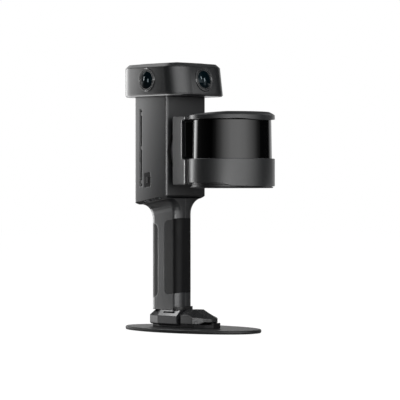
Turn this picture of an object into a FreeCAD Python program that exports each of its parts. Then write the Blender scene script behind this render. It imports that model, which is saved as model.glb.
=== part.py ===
import FreeCAD, Part
import math
import os

# Handheld lidar scanner on its quick-release stand. Millimetres, +Z up, +X forward towards
# the spinning lidar. The origin is on the underside of the stand, on the axis of the handle.

Vec = FreeCAD.Vector
X_AXIS = Vec(1, 0, 0)
Y_AXIS = Vec(0, 1, 0)
Z_AXIS = Vec(0, 0, 1)

# Fits and clearances
running_fit = 0.03
sliding_gap = 0.3
seat_gap = 0.1
moving_gap = 0.5

# Stand plate
plate_length = 214.0
plate_width = 118.0
plate_thickness = 4.2
plate_offset = 38.0
plate_edge = 0.9
pad_thickness = 1.0
pad_recess = 0.5
pad_margin = 5.0
bush_thread_radius = 3.175
bush_radius = 6.0
bush_thread_depth = 6.2
bush_sink = 0.4

# Receiver on the plate
receiver_floor = 2.6
receiver_deck = 2.1
receiver_inset = 2.5
receiver_nose_x = 82.0
receiver_nose_half = 6.0
receiver_half = 20.5
receiver_lip = 2.6
receiver_lip_depth = 2.0
pin_radius = 2.0
pin_height = 8.0
pin_spacing = 26.0
pin_x = -13.0
receiver_screw_radius = 1.6
screw_head_ratio = 1.8

# Foot block under the handle
foot_rear_x = -30.0
foot_rear_half = 10.0
foot_shoulder_x = -3.0
foot_half = 22.0
foot_front_x = 31.5
foot_gap = 0.3
foot_chamfer = 1.6
foot_wall_height = 11.3
foot_slope_height = 7.2
foot_slope_inset = 7.4
foot_slot_length = 21.0
foot_slot_width = 2.0
foot_slot_depth = 1.6
foot_slot_x = 13.5
foot_pocket_wall = 2.4
foot_floor = 4.0
collar_height = 4.5
collar_width = 2.6

# Release lever and clamp jaw
lever_rear_x = 37.0
lever_half = 20.0
lever_shoulder_x = 58.0
lever_cheek_x = 70.0
lever_cheek_half = 13.0
lever_nose_x = 78.0
lever_nose_half = 5.0
lever_top = 27.4
lever_deck_x = 50.0
lever_deck_half = 8.0
lever_side_top = 20.0
lever_nose_top = 15.6
lever_nose_rise = 2.6
lever_rise_x = 66.0
lever_pin_x = 45.0
lever_pin_y = 12.0
lever_pin_radius = 2.5
lever_open_angle = 80.0
cam_radius = 4.5
cam_throw = 1.17
cam_slack = 0.35
jaw_thickness = 3.2
jaw_half = 15.0
jaw_height = 10.5
jaw_travel = 1.5
jaw_tail_wall = 2.6

# Handle
handle_length_x = 51.0
handle_length_y = 28.0
handle_corner = 9.0
handle_wall = 3.4
grip_thickness = 1.8
grip_front_x = 0.5
grip_rear_x = -10.8
grip_corner = 8.0
grip_bottom = 44.4
grip_top = 138.1
neck_side_radius = 20.0
neck_rear_radius = 6.0
neck_corner_loss = 0.15
handle_floor = 2.5
handle_boss_height = 7.0
handle_screw_radius = 1.5
handle_screw_head = 2.8

# Battery in the handle
cell_radius = 9.1
cell_length = 50.0
cell_gap = 0.6

# Body
body_front_x = 27.3
body_rear_x = -33.5
body_half = 34.0
body_corner = 3.6
body_wall = 2.6
body_top = 295.5
body_front_bottom = 171.0
base_angle = 8.65
base_bevel = 4.5
base_bevel_height = 3.2
vent_x = -21.2
vent_width = 3.0
vent_recess = 1.0
vent_bottom = 183.0
vent_dot = 2.8
vent_slot = 38.6
vent_rib = 4.3
rear_cover_half = body_half - 8.0
rear_cover_bottom = 178.0
rear_cover_top = 286.0
rear_cover_corner = 5.0

# Power button
button_x = -9.0
button_z = 190.5
button_panel_length = 12.0
button_panel_height = 18.5
button_panel_depth = 1.2
button_height = 8.2
button_width = 4.6
button_travel = 1.0
button_proud = 0.4
button_stem_radius = 1.5

# Rotary drive
spin_z = 226.0
housing_clearance = 2.4
housing_flange = body_half - body_wall - housing_clearance
housing_flange_width = 5.0
housing_flange_thickness = 3.0
housing_radius = housing_flange - housing_flange_width
housing_wall = 3.0
bearing_radius = housing_radius - housing_wall
bearing_width = 7.0
bearing_section = 6.0
shaft_radius = bearing_radius - bearing_section
shaft_wall = 5.5
shaft_bore = shaft_radius - shaft_wall
shaft_rear_x = -12.0
hub_radius = housing_flange + 1.5
hub_screw_margin = 7.5
hub_rear_x = 28.8
hub_front_x = 34.5
housing_rear_x = 1.0
front_bearing_x = 19.5
rear_bearing_x = 3.0
cup_wall = 1.8
cup_rear_x = -26.0
stator_length = 9.0
stator_front_x = -0.5
rotor_radius = shaft_radius + 5.0
stator_bore = rotor_radius + moving_gap
encoder_radius = shaft_radius + 7.0
encoder_thickness = 1.0
seal_radius = hub_radius + 2.5
seal_thickness = 1.0
slip_gap = 0.9
slip_radius = shaft_bore - slip_gap
slip_length = 26.0

# Head
head_centre_x = 3.5
head_half_x = 57.0
head_half_y = 44.7
head_corner = 25.0
head_wall = 2.5
head_floor_thickness = 2.6
head_floor_chamfer = 1.6
head_side_height = 36.3
head_cover_height = 6.2
head_seam = body_top + head_side_height
head_top = head_seam + head_cover_height
head_lean = 6.4
head_bevel = 4.6
head_bevel_height = 4.4
side_camera_x = 1.5
bezel_room = 3.25
bezel_radius = head_side_height / 2 - bezel_room
camera_margin = 1.0
camera_z = head_seam - camera_margin - bezel_radius
bezel_flange_radius = bezel_radius + 0.9
bezel_flange_thickness = 1.4
bezel_rim = 3.6
bezel_bore = bezel_radius - bezel_rim
bezel_proud = 1.0
bezel_depth = 2.6
lens_radius = bezel_bore - 0.2
lens_proud = 3.2
lens_back = 3.0
barrel_radius = lens_radius - 1.5
barrel_length = 13.0
sensor_size = 2 * barrel_radius + 5.0
sensor_thickness = 1.6

# Lidar unit
slab_front_x = 50.8
slab_lip_x = 56.5
slab_half = 31.0
slab_bottom = 183.8
slab_top = 269.2
slab_corner = 3.0
notch_bottom = 215.6
notch_top = 264.8
drum_x = 108.5
ring_radius = 53.2
ring_wall = 3.4
ring_top = 216.0
ring_low = 181.6
ring_high = 186.4
ring_step_x = 143.0
ring_step_run = 16.0
cover_low = 262.8
cover_high = 264.6
cover_step_x = 158.0
cover_step_run = 8.0
cover_edge = 269.6
cover_top = 273.6
bottom_cover_radius = ring_radius - 1.9
bottom_cover_bottom = 179.8
window_gap = 0.2
window_radius = ring_radius - ring_wall - window_gap
window_taper = 0.8
window_wall = 2.4
window_top = 264.4
lidar_base_bottom = 184.2
turret_radius = 40.0
turret_bottom = 221.0
turret_top = 256.0
spindle_radius = 5.0

# Derived places
plate_bottom = pad_thickness - pad_recess
plate_top = plate_bottom + plate_thickness
floor_top = plate_top + receiver_floor
deck_top = floor_top + receiver_deck
foot_bottom = floor_top + foot_gap
foot_wall_top = foot_bottom + foot_wall_height
foot_top = foot_wall_top + foot_slope_height
lever_bottom = deck_top + moving_gap - 0.1
handle_half_x = handle_length_x / 2
handle_half_y = handle_length_y / 2
base_slope = math.tan(math.radians(base_angle))


def wall_foot_z(x):
    """Height of the lower edge of the body's side wall."""
    return body_front_bottom + (x - body_front_x) * base_slope


def under_z(x):
    """Height of the sloping underside of the body."""
    return wall_foot_z(x) - base_bevel_height


# Building blocks
def box(x0, x1, y0, y1, z0, z1):
    return Part.makeBox(x1 - x0, y1 - y0, z1 - z0, Vec(x0, y0, z0))


def rod(radius, length, start, axis=Z_AXIS):
    return Part.makeCylinder(radius, length, start, axis)


def ring(outer, inner, length, start, axis=Z_AXIS):
    step = Vec(axis)
    return rod(outer, length, start, axis).cut(rod(inner, length + 2, start - step, axis))


def polygon_prism(points, z0, z1):
    """Upright prism on a list of (x, y) corners."""
    corners = [Vec(x, y, z0) for x, y in points]
    face = Part.Face(Part.makePolygon(corners + corners[:1]))
    return face.extrude(Vec(0, 0, z1 - z0))


def side_prism(points, half_y):
    """Prism across the width on a list of (x, z) corners."""
    corners = [Vec(x, -half_y, z) for x, z in points]
    face = Part.Face(Part.makePolygon(corners + corners[:1]))
    return face.extrude(Vec(0, 2 * half_y, 0))


def rounded_wire(x0, x1, half_y, radius, z):
    """Rounded rectangle in a level plane."""
    bend = radius * math.sqrt(0.5)
    y0, y1 = -half_y, half_y
    centres = [(x1 - radius, y1 - radius, 1, 1), (x0 + radius, y1 - radius, -1, 1),
               (x0 + radius, y0 + radius, -1, -1), (x1 - radius, y0 + radius, 1, -1)]
    arcs = []
    for cx, cy, sx, sy in centres:
        along_x = Vec(cx + sx * radius, cy, z)
        along_y = Vec(cx, cy + sy * radius, z)
        middle = Vec(cx + sx * bend, cy + sy * bend, z)
        ends = (along_x, along_y) if sx * sy > 0 else (along_y, along_x)
        arcs.append(Part.Arc(ends[0], middle, ends[1]).toShape())
    edges = []
    for arc, after in zip(arcs, arcs[1:] + arcs[:1]):
        edges.append(arc)
        start = arc.Vertexes[-1].Point
        stop = after.Vertexes[0].Point
        edges.append(Part.LineSegment(start, stop).toShape())
    return Part.Wire(edges)


def rounded_prism(x0, x1, half_y, radius, z0, z1):
    face = Part.Face(rounded_wire(x0, x1, half_y, radius, z0))
    return face.extrude(Vec(0, 0, z1 - z0))


def rounded_loft(sections):
    """Ruled solid through rounded rectangles (x0, x1, half_y, radius, z)."""
    wires = [rounded_wire(*section) for section in sections]
    return Part.makeLoft(wires, True, True)


def polygon_loft(sections):
    """Ruled solid through polygons of equal count, each (points, z)."""
    wires = []
    for points, z in sections:
        corners = [Vec(x, y, z) for x, y in points]
        wires.append(Part.makePolygon(corners + corners[:1]))
    return Part.makeLoft(wires, True, True)


def revolved(points, centre, axis=Z_AXIS):
    """Solid of revolution of (radius, height) corners about an upright or forward axis."""
    if axis == Z_AXIS:
        corners = [Vec(centre.x + r, centre.y, centre.z + h) for r, h in points]
    else:
        corners = [Vec(centre.x + h, centre.y, centre.z + r) for r, h in points]
    face = Part.Face(Part.makePolygon(corners + corners[:1]))
    return face.revolve(centre, axis, 360)


def joined(shapes):
    whole = shapes[0]
    if len(shapes) > 1:
        whole = whole.multiFuse(shapes[1:])
    return whole.removeSplitter()


def upright_edges(shape, low, high):
    """Vertical edges of a shape that start and end within a height range."""
    found = []
    for edge in shape.Edges:
        ends = [vertex.Point for vertex in edge.Vertexes]
        if len(ends) != 2:
            continue
        level = (ends[0] - ends[1])
        if abs(level.x) + abs(level.y) < 1e-6 and low <= min(ends[0].z, ends[1].z) and \
                max(ends[0].z, ends[1].z) <= high:
            found.append(edge)
    return found


def save(name, shape):
    pieces = shape if isinstance(shape, list) else [shape]
    solids = [solid for piece in pieces for solid in piece.Solids]
    for solid in solids:
        if not solid.isValid():
            print("invalid solid in", name)
    result = solids[0] if len(solids) == 1 else Part.makeCompound(solids)
    result.exportStep("parts/" + name + ".step")
    print(name, len(solids), round(sum(solid.Volume for solid in solids)))


# Stand
def oval(length, width, z0, z1):
    curve = Part.Ellipse(Vec(plate_offset, 0, z0), length / 2, width / 2)
    face = Part.Face(Part.Wire(curve.toShape()))
    return face.extrude(Vec(0, 0, z1 - z0))


def make_base_plate():
    plate = oval(plate_length, plate_width, plate_bottom, plate_top)
    rims = [edge for edge in plate.Edges if edge.BoundBox.ZLength < 1e-6]
    plate = plate.makeChamfer(plate_edge, rims)
    recess = oval(plate_length - 2 * pad_margin, plate_width - 2 * pad_margin,
                  plate_bottom - 1, pad_thickness)
    holes = [rod(bush_radius, plate_thickness + 2, Vec(0, 0, plate_bottom - 1))]
    holes += [rod(receiver_screw_radius, plate_thickness + 2, Vec(x, y, plate_bottom - 1))
              for x, y in receiver_screw_places()]
    holes += [rod(screw_head_ratio * receiver_screw_radius + seat_gap, receiver_head_height(),
                  Vec(x, y, pad_thickness)) for x, y in receiver_screw_places()]
    holes.append(rod(lever_pin_radius, plate_thickness, Vec(lever_pin_x, lever_pin_y, pin_foot())))
    return plate.cut([recess] + holes)


def receiver_head_height():
    return 1.6


def pin_foot():
    return plate_bottom + 1.5


def receiver_screw_places():
    near = receiver_half - 8.5
    side_x = foot_front_x - 19.5
    return [(foot_rear_x + 10.0, 0.0), (side_x, near), (side_x, -near), (receiver_nose_x - 16.0, 0.0)]


def make_base_pad():
    pad = oval(plate_length - 2 * pad_margin - 2 * seat_gap,
               plate_width - 2 * pad_margin - 2 * seat_gap, 0, pad_thickness)
    return pad.cut(rod(bush_radius + 1.0, pad_thickness + 2, Vec(0, 0, -1)))


def make_tripod_bush():
    """Threaded bush for a tripod screw, closed at its top and flush with the pad."""
    bush = rod(bush_radius, floor_top - bush_sink, Vec(0, 0, 0))
    return bush.cut(rod(bush_thread_radius, bush_thread_depth, Vec(0, 0, 0)))


def receiver_outline(rear_trim, grow=0.0):
    half = receiver_half + grow
    points = [(foot_rear_x + receiver_inset + rear_trim, -foot_rear_half + receiver_inset),
              (foot_shoulder_x, -half + receiver_inset - 1.0), (foot_front_x, -half),
              (lever_shoulder_x + 3, -half), (receiver_nose_x - 8, -lever_cheek_half),
              (receiver_nose_x, -receiver_nose_half)]
    return points + [(x, -y) for x, y in reversed(points)]


def jaw_channel():
    """Room for the jaw's tail in the raised deck of the receiver."""
    side = jaw_tail_wall + cam_radius + cam_throw + cam_slack
    x1 = lever_pin_x + side + jaw_travel + sliding_gap
    y0 = lever_pin_y - side - sliding_gap
    y1 = lever_pin_y + cam_radius + cam_throw + sliding_gap
    return box(foot_front_x, x1, y0, y1, floor_top, deck_top + 1)


def make_receiver_base():
    floor = polygon_prism(receiver_outline(0), plate_top, floor_top)
    deck = polygon_prism(receiver_outline(0), floor_top, deck_top)
    deck_rear = lever_rear_x + jaw_travel
    deck = deck.common(box(deck_rear, receiver_nose_x + 1, -40, 40, 0, 60))
    lip = polygon_prism(receiver_outline(0), deck_top, deck_top + receiver_lip - 0.4)
    lip = lip.common(box(receiver_nose_x - receiver_lip_depth, receiver_nose_x + 1, -40, 40, 0, 60))
    body = joined([floor, deck, lip])
    holes = [jaw_channel(), rod(bush_radius, floor_top, Vec(0, 0, 0)),
             rod(lever_pin_radius, deck_top, Vec(lever_pin_x, lever_pin_y, plate_top - 1))]
    holes += [rod(pin_radius, receiver_floor + 2, Vec(pin_x, y, plate_top - 1)) for y in pin_rows()]
    holes += [rod(receiver_screw_radius, receiver_floor, Vec(x, y, plate_top - 1))
              for x, y in receiver_screw_places()]
    return body.cut(holes)


def pin_rows():
    return [-pin_spacing / 2 + 5.0, pin_spacing / 2 - 5.0]


def make_receiver_screws():
    screws = []
    for x, y in receiver_screw_places():
        shank = rod(receiver_screw_radius, plate_thickness + 0.8, Vec(x, y, pad_thickness))
        head = rod(screw_head_ratio * receiver_screw_radius, receiver_head_height() - 0.2,
                   Vec(x, y, pad_thickness))
        screws.append(joined([shank, head]))
    return screws


def make_locating_pins():
    pins = []
    for y in pin_rows():
        pin = rod(pin_radius, receiver_floor + pin_height, Vec(pin_x, y, plate_top))
        tip = [edge for edge in pin.Edges if edge.CenterOfMass.z > plate_top + receiver_floor + 1
               and edge.BoundBox.ZLength < 1e-6]
        pins.append(pin.makeChamfer(0.8, tip))
    return pins


# Release lever with its cam, pin and jaw
def cam_centre(angle=0.0):
    """Centre of the cam's round lobe when the lever has turned by an angle in degrees."""
    start = math.radians(-90.0 - lever_open_angle / 2 + angle)
    return Vec(lever_pin_x + cam_throw * math.cos(start),
               lever_pin_y + cam_throw * math.sin(start), floor_top + sliding_gap)


def lever_outline():
    return [(lever_rear_x, -lever_half), (lever_shoulder_x, -lever_half),
            (lever_cheek_x, -lever_cheek_half), (lever_nose_x, -lever_nose_half),
            (lever_nose_x, lever_nose_half), (lever_cheek_x, lever_cheek_half),
            (lever_shoulder_x, lever_half), (lever_rear_x, lever_half)]


def lever_roof():
    """Faceted upper form: a flat deck with slopes to the sides and to the nose."""
    deck = lever_top
    side = lever_side_top
    nose = lever_nose_top
    sections = []
    rear = [(-lever_half - 1, 0), (-lever_half - 1, side), (-lever_deck_half, deck),
            (lever_deck_half, deck), (lever_half + 1, side), (lever_half + 1, 0)]
    front = [(-lever_half - 1, 0), (-lever_half - 1, nose - 3.5), (-lever_nose_half, nose),
             (lever_nose_half, nose), (lever_half + 1, nose - 3.5), (lever_half + 1, 0)]
    for x, corners in [(lever_rear_x - 2, rear), (lever_deck_x, rear), (lever_nose_x + 1, front)]:
        points = [Vec(x, y, z) for y, z in corners]
        sections.append(Part.makePolygon(points + points[:1]))
    return Part.makeLoft(sections, True, True)


def make_release_lever():
    body = polygon_prism(lever_outline(), lever_bottom, lever_top + 1)
    body = body.common(lever_roof())
    corner = box(lever_rear_x - 1, lever_pin_x, lever_pin_y, lever_half + 1, 0, 60)
    round_end = rod(lever_half - lever_pin_y, 60, Vec(lever_pin_x, lever_pin_y, 0))
    body = body.cut(corner.cut(round_end))
    nose_cut = side_prism([(lever_rise_x, lever_bottom - 1), (lever_rise_x, lever_bottom),
                           (lever_rise_x + 5, lever_bottom + lever_nose_rise),
                           (lever_nose_x + 1, lever_bottom + lever_nose_rise),
                           (lever_nose_x + 1, lever_bottom - 1)], lever_half + 1)
    body = body.cut(nose_cut)
    hollow = polygon_prism([(lever_pin_x + 12, -lever_half + 5), (lever_shoulder_x + 6, -lever_half + 10),
                            (lever_shoulder_x + 6, lever_half - 10), (lever_pin_x + 12, lever_half - 5)],
                           lever_bottom - 1, lever_bottom + 6)
    cam = rod(cam_radius, lever_bottom - floor_top - sliding_gap + 0.5, cam_centre())
    body = joined([body.cut(hollow), cam])
    bore = rod(lever_pin_radius + running_fit, lever_pin_top() + sliding_gap,
               Vec(lever_pin_x, lever_pin_y, 0))
    return body.cut(bore)


def lever_pin_top():
    return lever_top - 6.0


def make_lever_pin():
    return rod(lever_pin_radius, lever_pin_top() - pin_foot(),
               Vec(lever_pin_x, lever_pin_y, pin_foot()))


def jaw_face_x():
    return foot_front_x + sliding_gap


def make_clamp_jaw():
    back = jaw_face_x()
    plate = box(back, back + jaw_thickness, -jaw_half, jaw_half, floor_top + sliding_gap,
                floor_top + jaw_height)
    side = jaw_tail_wall + cam_radius + cam_throw + cam_slack
    low = floor_top + sliding_gap
    high = deck_top - 0.2
    tail = box(back, lever_pin_x + side, lever_pin_y - side, lever_pin_y + cam_radius + cam_throw,
               low, high)
    window_x = cam_radius + cam_slack
    centre_x = cam_centre().x
    window = box(centre_x - window_x, centre_x + window_x,
                 lever_pin_y - cam_radius - cam_throw - cam_slack, lever_pin_y + 20, low - 1, high + 1)
    groove = box(back + jaw_thickness - 0.8, back + jaw_thickness + 0.1, -jaw_half - 1, jaw_half + 1,
                 floor_top + jaw_height - 3.4, floor_top + jaw_height - 2.2)
    return joined([plate, tail]).cut([window, groove])


# Foot block
def foot_outline(inset):
    points = [(foot_rear_x + inset, -foot_rear_half + inset * 0.5),
              (foot_shoulder_x - inset * 0.15, -foot_half + inset), (foot_front_x, -foot_half + inset)]
    return points + [(x, -y) for x, y in reversed(points)]


def foot_slot(side):
    """Strap slot sunk in the sloping shelf of one side."""
    tilt = math.degrees(math.atan2(foot_slope_height, foot_slope_inset))
    slot = box(-foot_slot_length / 2, foot_slot_length / 2, -foot_slot_width / 2,
               foot_slot_width / 2, -foot_slot_depth, 2)
    slot = slot.makeFillet(foot_slot_width / 2 - 0.05, upright_edges(slot, -5, 5))
    slot.rotate(Vec(0, 0, 0), X_AXIS, side * -tilt)
    middle_y = foot_half - foot_slope_inset * 0.62
    slot.translate(Vec(foot_slot_x, side * middle_y, foot_wall_top + foot_slope_height * 0.62))
    return slot


def make_foot_block():
    body = polygon_loft([(foot_outline(foot_chamfer), foot_bottom),
                         (foot_outline(0), foot_bottom + foot_chamfer),
                         (foot_outline(0), foot_wall_top),
                         (foot_outline(foot_slope_inset), foot_top)])
    pocket = rounded_prism(-handle_half_x + foot_pocket_wall + 1, handle_half_x - foot_pocket_wall - 1,
                           handle_half_y - foot_pocket_wall - 1, 4, foot_bottom + foot_floor,
                           foot_top + 1)
    holes = [rod(pin_radius + sliding_gap, pin_height + 1, Vec(pin_x, y, foot_bottom - 1))
             for y in pin_rows()]
    bosses = [rod(4.0, foot_top - foot_bottom, Vec(x, y, foot_bottom)) for x, y in foot_boss_places()]
    body = body.cut(pocket)
    body = joined([body] + bosses)
    holes += [rod(handle_screw_radius + seat_gap, 30, Vec(x, y, foot_bottom - 1))
              for x, y in foot_boss_places()]
    holes += [rod(handle_screw_head + seat_gap, foot_head_depth() + 1, Vec(x, y, foot_bottom - 1))
              for x, y in foot_boss_places()]
    return body.cut(holes + [foot_slot(-1), foot_slot(1)])


def foot_head_depth():
    return 2.4


def foot_boss_places():
    return [(-17.5, 0.0), (17.5, 0.0)]


def make_foot_screws():
    screws = []
    for x, y in foot_boss_places():
        head = rod(handle_screw_head, foot_head_depth() - 0.4, Vec(x, y, foot_bottom + 0.4))
        shank = rod(handle_screw_radius, foot_top - foot_bottom + 5, Vec(x, y, foot_bottom + 0.4))
        screws.append(joined([head, shank]))
    return screws


def make_foot_collar():
    """Dark collar round the front of the handle's foot, with sloping ends."""
    outer = rounded_prism(-handle_half_x - collar_width, handle_half_x + collar_width,
                          handle_half_y + collar_width, handle_corner + collar_width,
                          foot_top, foot_top + collar_height)
    tip = handle_half_x - handle_corner
    wedge = side_prism([(tip, foot_top - 1), (tip + 3, foot_top + collar_height - 1.2),
                        (tip + 8, foot_top + collar_height + 1), (60, foot_top + collar_height + 1),
                        (60, foot_top - 1)], 40)
    handle = rounded_prism(-handle_half_x, handle_half_x, handle_half_y, handle_corner,
                           foot_top - 1, foot_top + collar_height + 1)
    collar = outer.common(wedge).cut(handle)
    return collar.common(box(-60, foot_front_x - 0.4, -40, 40, 0, 60))


# Handle, neck and grips
def slope_prism(corners, x0, x1):
    """Prism on a (y, z) outline at x0, drawn along the slope of the body's underside."""
    points = [Vec(x0, y, z) for y, z in corners]
    face = Part.Face(Part.makePolygon(points + points[:1]))
    return face.extrude(Vec(x1 - x0, 0, (x1 - x0) * base_slope))


def neck_rise():
    """Height of the flare between the handle and the underside of the body."""
    offset = body_half - base_bevel - handle_half_y
    return math.sqrt(neck_side_radius ** 2 - (neck_side_radius - offset) ** 2)


def sloped_section(x0, x1, half_y, radius, drop):
    """Rounded rectangle seen from above, on a plane that lies a drop below the underside."""
    tube = rounded_prism(x0, x1, half_y, radius, under_z(x0) - drop - 40, under_z(x1) - drop + 40)
    normal = Vec(-base_slope, 0, 1).normalize()
    distance = normal.dot(Vec(0, 0, under_z(0) - drop))
    return tube.slice(normal, distance)[0]


def neck_section(inset, height):
    """Section of the neck at a height above the start of its flare."""
    side = neck_side_radius - math.sqrt(neck_side_radius ** 2 - height ** 2)
    into_rear = max(0.0, height - neck_rise() + neck_rear_radius * 0.8)
    rear = neck_rear_radius - math.sqrt(neck_rear_radius ** 2 - into_rear ** 2)
    grown = side * neck_corner_loss
    return (-handle_half_x - rear + inset, handle_half_x - inset, handle_half_y + side - inset,
            handle_corner - inset - grown, neck_rise() - height)


def neck_loft(inset, above=0.0):
    count = 7
    heights = [neck_rise() * math.sin(math.pi / 2 * k / count) for k in range(count + 1)]
    wires = [sloped_section(*neck_section(inset, height)) for height in heights]
    if above > 0:
        last = neck_section(inset, neck_rise())
        wires.append(sloped_section(*last[:4], -above))
    return Part.makeLoft(wires, True, True)


def handle_solid(inset, low, above=0.0):
    """Handle with its neck flaring out under the body, drawn in by an inset."""
    grip = rounded_prism(-handle_half_x + inset, handle_half_x - inset, handle_half_y - inset,
                         handle_corner - inset, low, body_front_bottom)
    x0, x1 = -60.0, 60.0
    below = side_prism([(x0, low - 1), (x1, low - 1), (x1, under_z(x1) - neck_rise()),
                        (x0, under_z(x0) - neck_rise())], 60)
    return joined([grip.common(below), neck_loft(inset, above)])


def grip_zone(x0, x1, rounded_x):
    """Side view of a grip pad: ends parallel to the body's underside, rounded inner corners."""
    zone = side_prism([(x0, grip_bottom + x0 * base_slope), (x1, grip_bottom + x1 * base_slope),
                       (x1, grip_top + x1 * base_slope), (x0, grip_top + x0 * base_slope)], 40)
    corners = [edge for edge in zone.Edges if edge.BoundBox.YLength > 70
               and abs(edge.BoundBox.Center.x - rounded_x) < 0.01]
    return zone.makeFillet(grip_corner, corners)


def grip_layer():
    skin = rounded_prism(-handle_half_x, handle_half_x, handle_half_y, handle_corner,
                         foot_top, grip_top + 12)
    core = rounded_prism(-handle_half_x + grip_thickness, handle_half_x - grip_thickness,
                         handle_half_y - grip_thickness, handle_corner - grip_thickness,
                         foot_top - 1, grip_top + 13)
    return skin.cut(core)


def make_grip_pads():
    layer = grip_layer()
    front = layer.common(grip_zone(grip_front_x, handle_half_x + 5, grip_front_x))
    rear = layer.common(grip_zone(-handle_half_x - 5, grip_rear_x, grip_rear_x))
    return front, rear


def neck_screw_places():
    return [(x, under_z(x) - 11.0) for x in (-15.0, 15.0)]


def make_handle_shells(pads):
    outer = handle_solid(0, foot_top)
    inner = handle_solid(handle_wall, foot_top + handle_floor, 1.0)
    shell = outer.cut(inner)
    bosses = [rod(4.0, handle_boss_height, Vec(x, y, foot_top)) for x, y in foot_boss_places()]
    for x, z in neck_screw_places():
        boss = rod(3.6, 2 * handle_half_y, Vec(x, -handle_half_y, z), Y_AXIS)
        bosses.append(boss.common(outer))
    shell = joined([shell] + bosses)
    holes = [rod(handle_screw_radius, 8.0, Vec(x, y, foot_top - 1)) for x, y in foot_boss_places()]
    for x, z in neck_screw_places():
        holes.append(rod(handle_screw_radius, 18.0, Vec(x, -9.0, z), Y_AXIS))
        holes.append(rod(handle_screw_head + seat_gap, 40.0, Vec(x, 8.0, z), Y_AXIS))
    shell = shell.cut(holes + list(pads))
    far = box(-80, 80, 0, 80, 0, 400)
    return shell.cut(far), shell.common(far)


def make_handle_screws():
    screws = []
    for x, z in neck_screw_places():
        head = rod(handle_screw_head, 2.2, Vec(x, 8.0, z), Y_AXIS)
        shank = rod(handle_screw_radius, 17.0, Vec(x, -8.5, z), Y_AXIS)
        socket = rod(1.3, 1.2, Vec(x, 9.1, z), Y_AXIS)
        screws.append(joined([head, shank]).cut(socket))
    return screws


# Battery
tray_bottom = foot_top + handle_boss_height
tray_floor = 1.2


def make_battery_cells():
    cells = []
    for level in range(2):
        for side in (-1, 1):
            z = tray_bottom + tray_floor + level * cell_length
            x = side * (cell_radius + cell_gap / 2)
            cells.append(rod(cell_radius, cell_length, Vec(x, 0, z)))
    return cells


def battery_height():
    return tray_floor + 2 * cell_length + cell_gap


def make_battery_tray():
    half_x = handle_half_x - handle_wall - 0.2
    half_y = handle_half_y - handle_wall - 0.2
    outer = rounded_prism(-half_x, half_x, half_y, handle_corner - handle_wall - 0.2,
                          tray_bottom, tray_bottom + battery_height())
    inner_x = 2 * cell_radius + cell_gap / 2 + 0.2
    inner = rounded_prism(-inner_x, inner_x, cell_radius + 0.15, cell_radius,
                          tray_bottom + tray_floor, tray_bottom + battery_height() + 1)
    return outer.cut(inner)


def make_battery_board():
    z = tray_bottom + battery_height()
    board = rounded_prism(-19.0, 19.0, 9.4, 4.0, z, z + 1.6)
    chips = [box(x, x + 5.0, -3.0, 3.0, z + 1.6, z + 3.2) for x in (-12.0, -3.0, 6.0)]
    return joined([board] + chips)


# Body
def body_solid(inset, top):
    """Body form, drawn in by an inset: upright sides and a sloping, bevelled underside."""
    x0 = body_rear_x + inset
    x1 = body_front_x - inset
    half = body_half - inset
    lift = inset * 0.8
    tube = rounded_prism(x0, x1, half, body_corner - inset * 0.9, 100, top)
    bevel = base_bevel
    side = side_prism([(x0, wall_foot_z(x0) + lift), (x0 + bevel, under_z(x0 + bevel) + inset),
                       (x1 - bevel, under_z(x1 - bevel) + inset), (x1, wall_foot_z(x1) + lift),
                       (x1, top + 1), (x0, top + 1)], 60)
    far = body_rear_x - 10
    across = slope_prism([(-half, wall_foot_z(far) + lift), (-half + bevel, under_z(far) + inset),
                          (half - bevel, under_z(far) + inset), (half, wall_foot_z(far) + lift),
                          (half, top + 40), (-half, top + 40)], far, body_front_x + 10)
    return tube.common(side).common(across)


def vent_spans():
    """Heights of the four openings of a side vent: dot, slot, slot, dot."""
    spans = []
    z = vent_bottom
    for length in (vent_dot, vent_slot, vent_slot, vent_dot):
        spans.append((z, z + length))
        z += length + vent_rib
    return spans


def vent_cutters():
    cutters = []
    low = vent_spans()[0][0] - 1.6
    high = vent_spans()[-1][1] + 1.6
    for side in (-1, 1):
        wall = side * body_half
        groove = box(vent_x - vent_width / 2 - 0.8, vent_x + vent_width / 2 + 0.8,
                     min(wall, wall - side * vent_recess), max(wall, wall - side * vent_recess),
                     low, high)
        cutters.append(groove)
        for z0, z1 in vent_spans():
            slot = box(vent_x - vent_width / 2, vent_x + vent_width / 2,
                       min(wall, wall - side * 8), max(wall, wall - side * 8), z0, z1)
            cutters.append(slot)
    return cutters


def make_vent_grilles():
    grilles = []
    low = vent_spans()[0][0] - 1.5
    high = vent_spans()[-1][1] + 1.5
    for side in (-1, 1):
        face = side * (body_half - body_wall)
        strip = box(vent_x - 3.4, vent_x + 3.4, min(face, face - side * 0.9),
                    max(face, face - side * 0.9), low, high)
        slits = []
        z = low + 2.6
        while z < high - 2.6:
            slits.append(box(vent_x - 1.3, vent_x + 1.3, min(face, face - side * 3) - 1,
                             max(face, face - side * 3) + 1, z, z + 1.3))
            z += 2.9
        grilles.append(strip.cut(slits))
    return grilles


def bevel_frame(x):
    """Placement on the near side's lower bevel: local z points out of the surface."""
    along = Vec(1, 0, base_slope).normalize()
    down = Vec(0, base_bevel, -base_bevel_height).normalize()
    out = down.cross(along).normalize()
    across = out.cross(along).normalize()
    origin = Vec(x, -body_half + base_bevel / 2, wall_foot_z(x) - base_bevel_height / 2)
    return FreeCAD.Placement(origin, FreeCAD.Rotation(along, across, out, "ZXY"))


port_strip_x = -2.0
port_strip_length = 36.0
port_strip_width = 4.4
port_strip_depth = 1.2


def on_bevel(shape):
    placed = shape.copy()
    placed.Placement = bevel_frame(port_strip_x).multiply(placed.Placement)
    return placed


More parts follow.
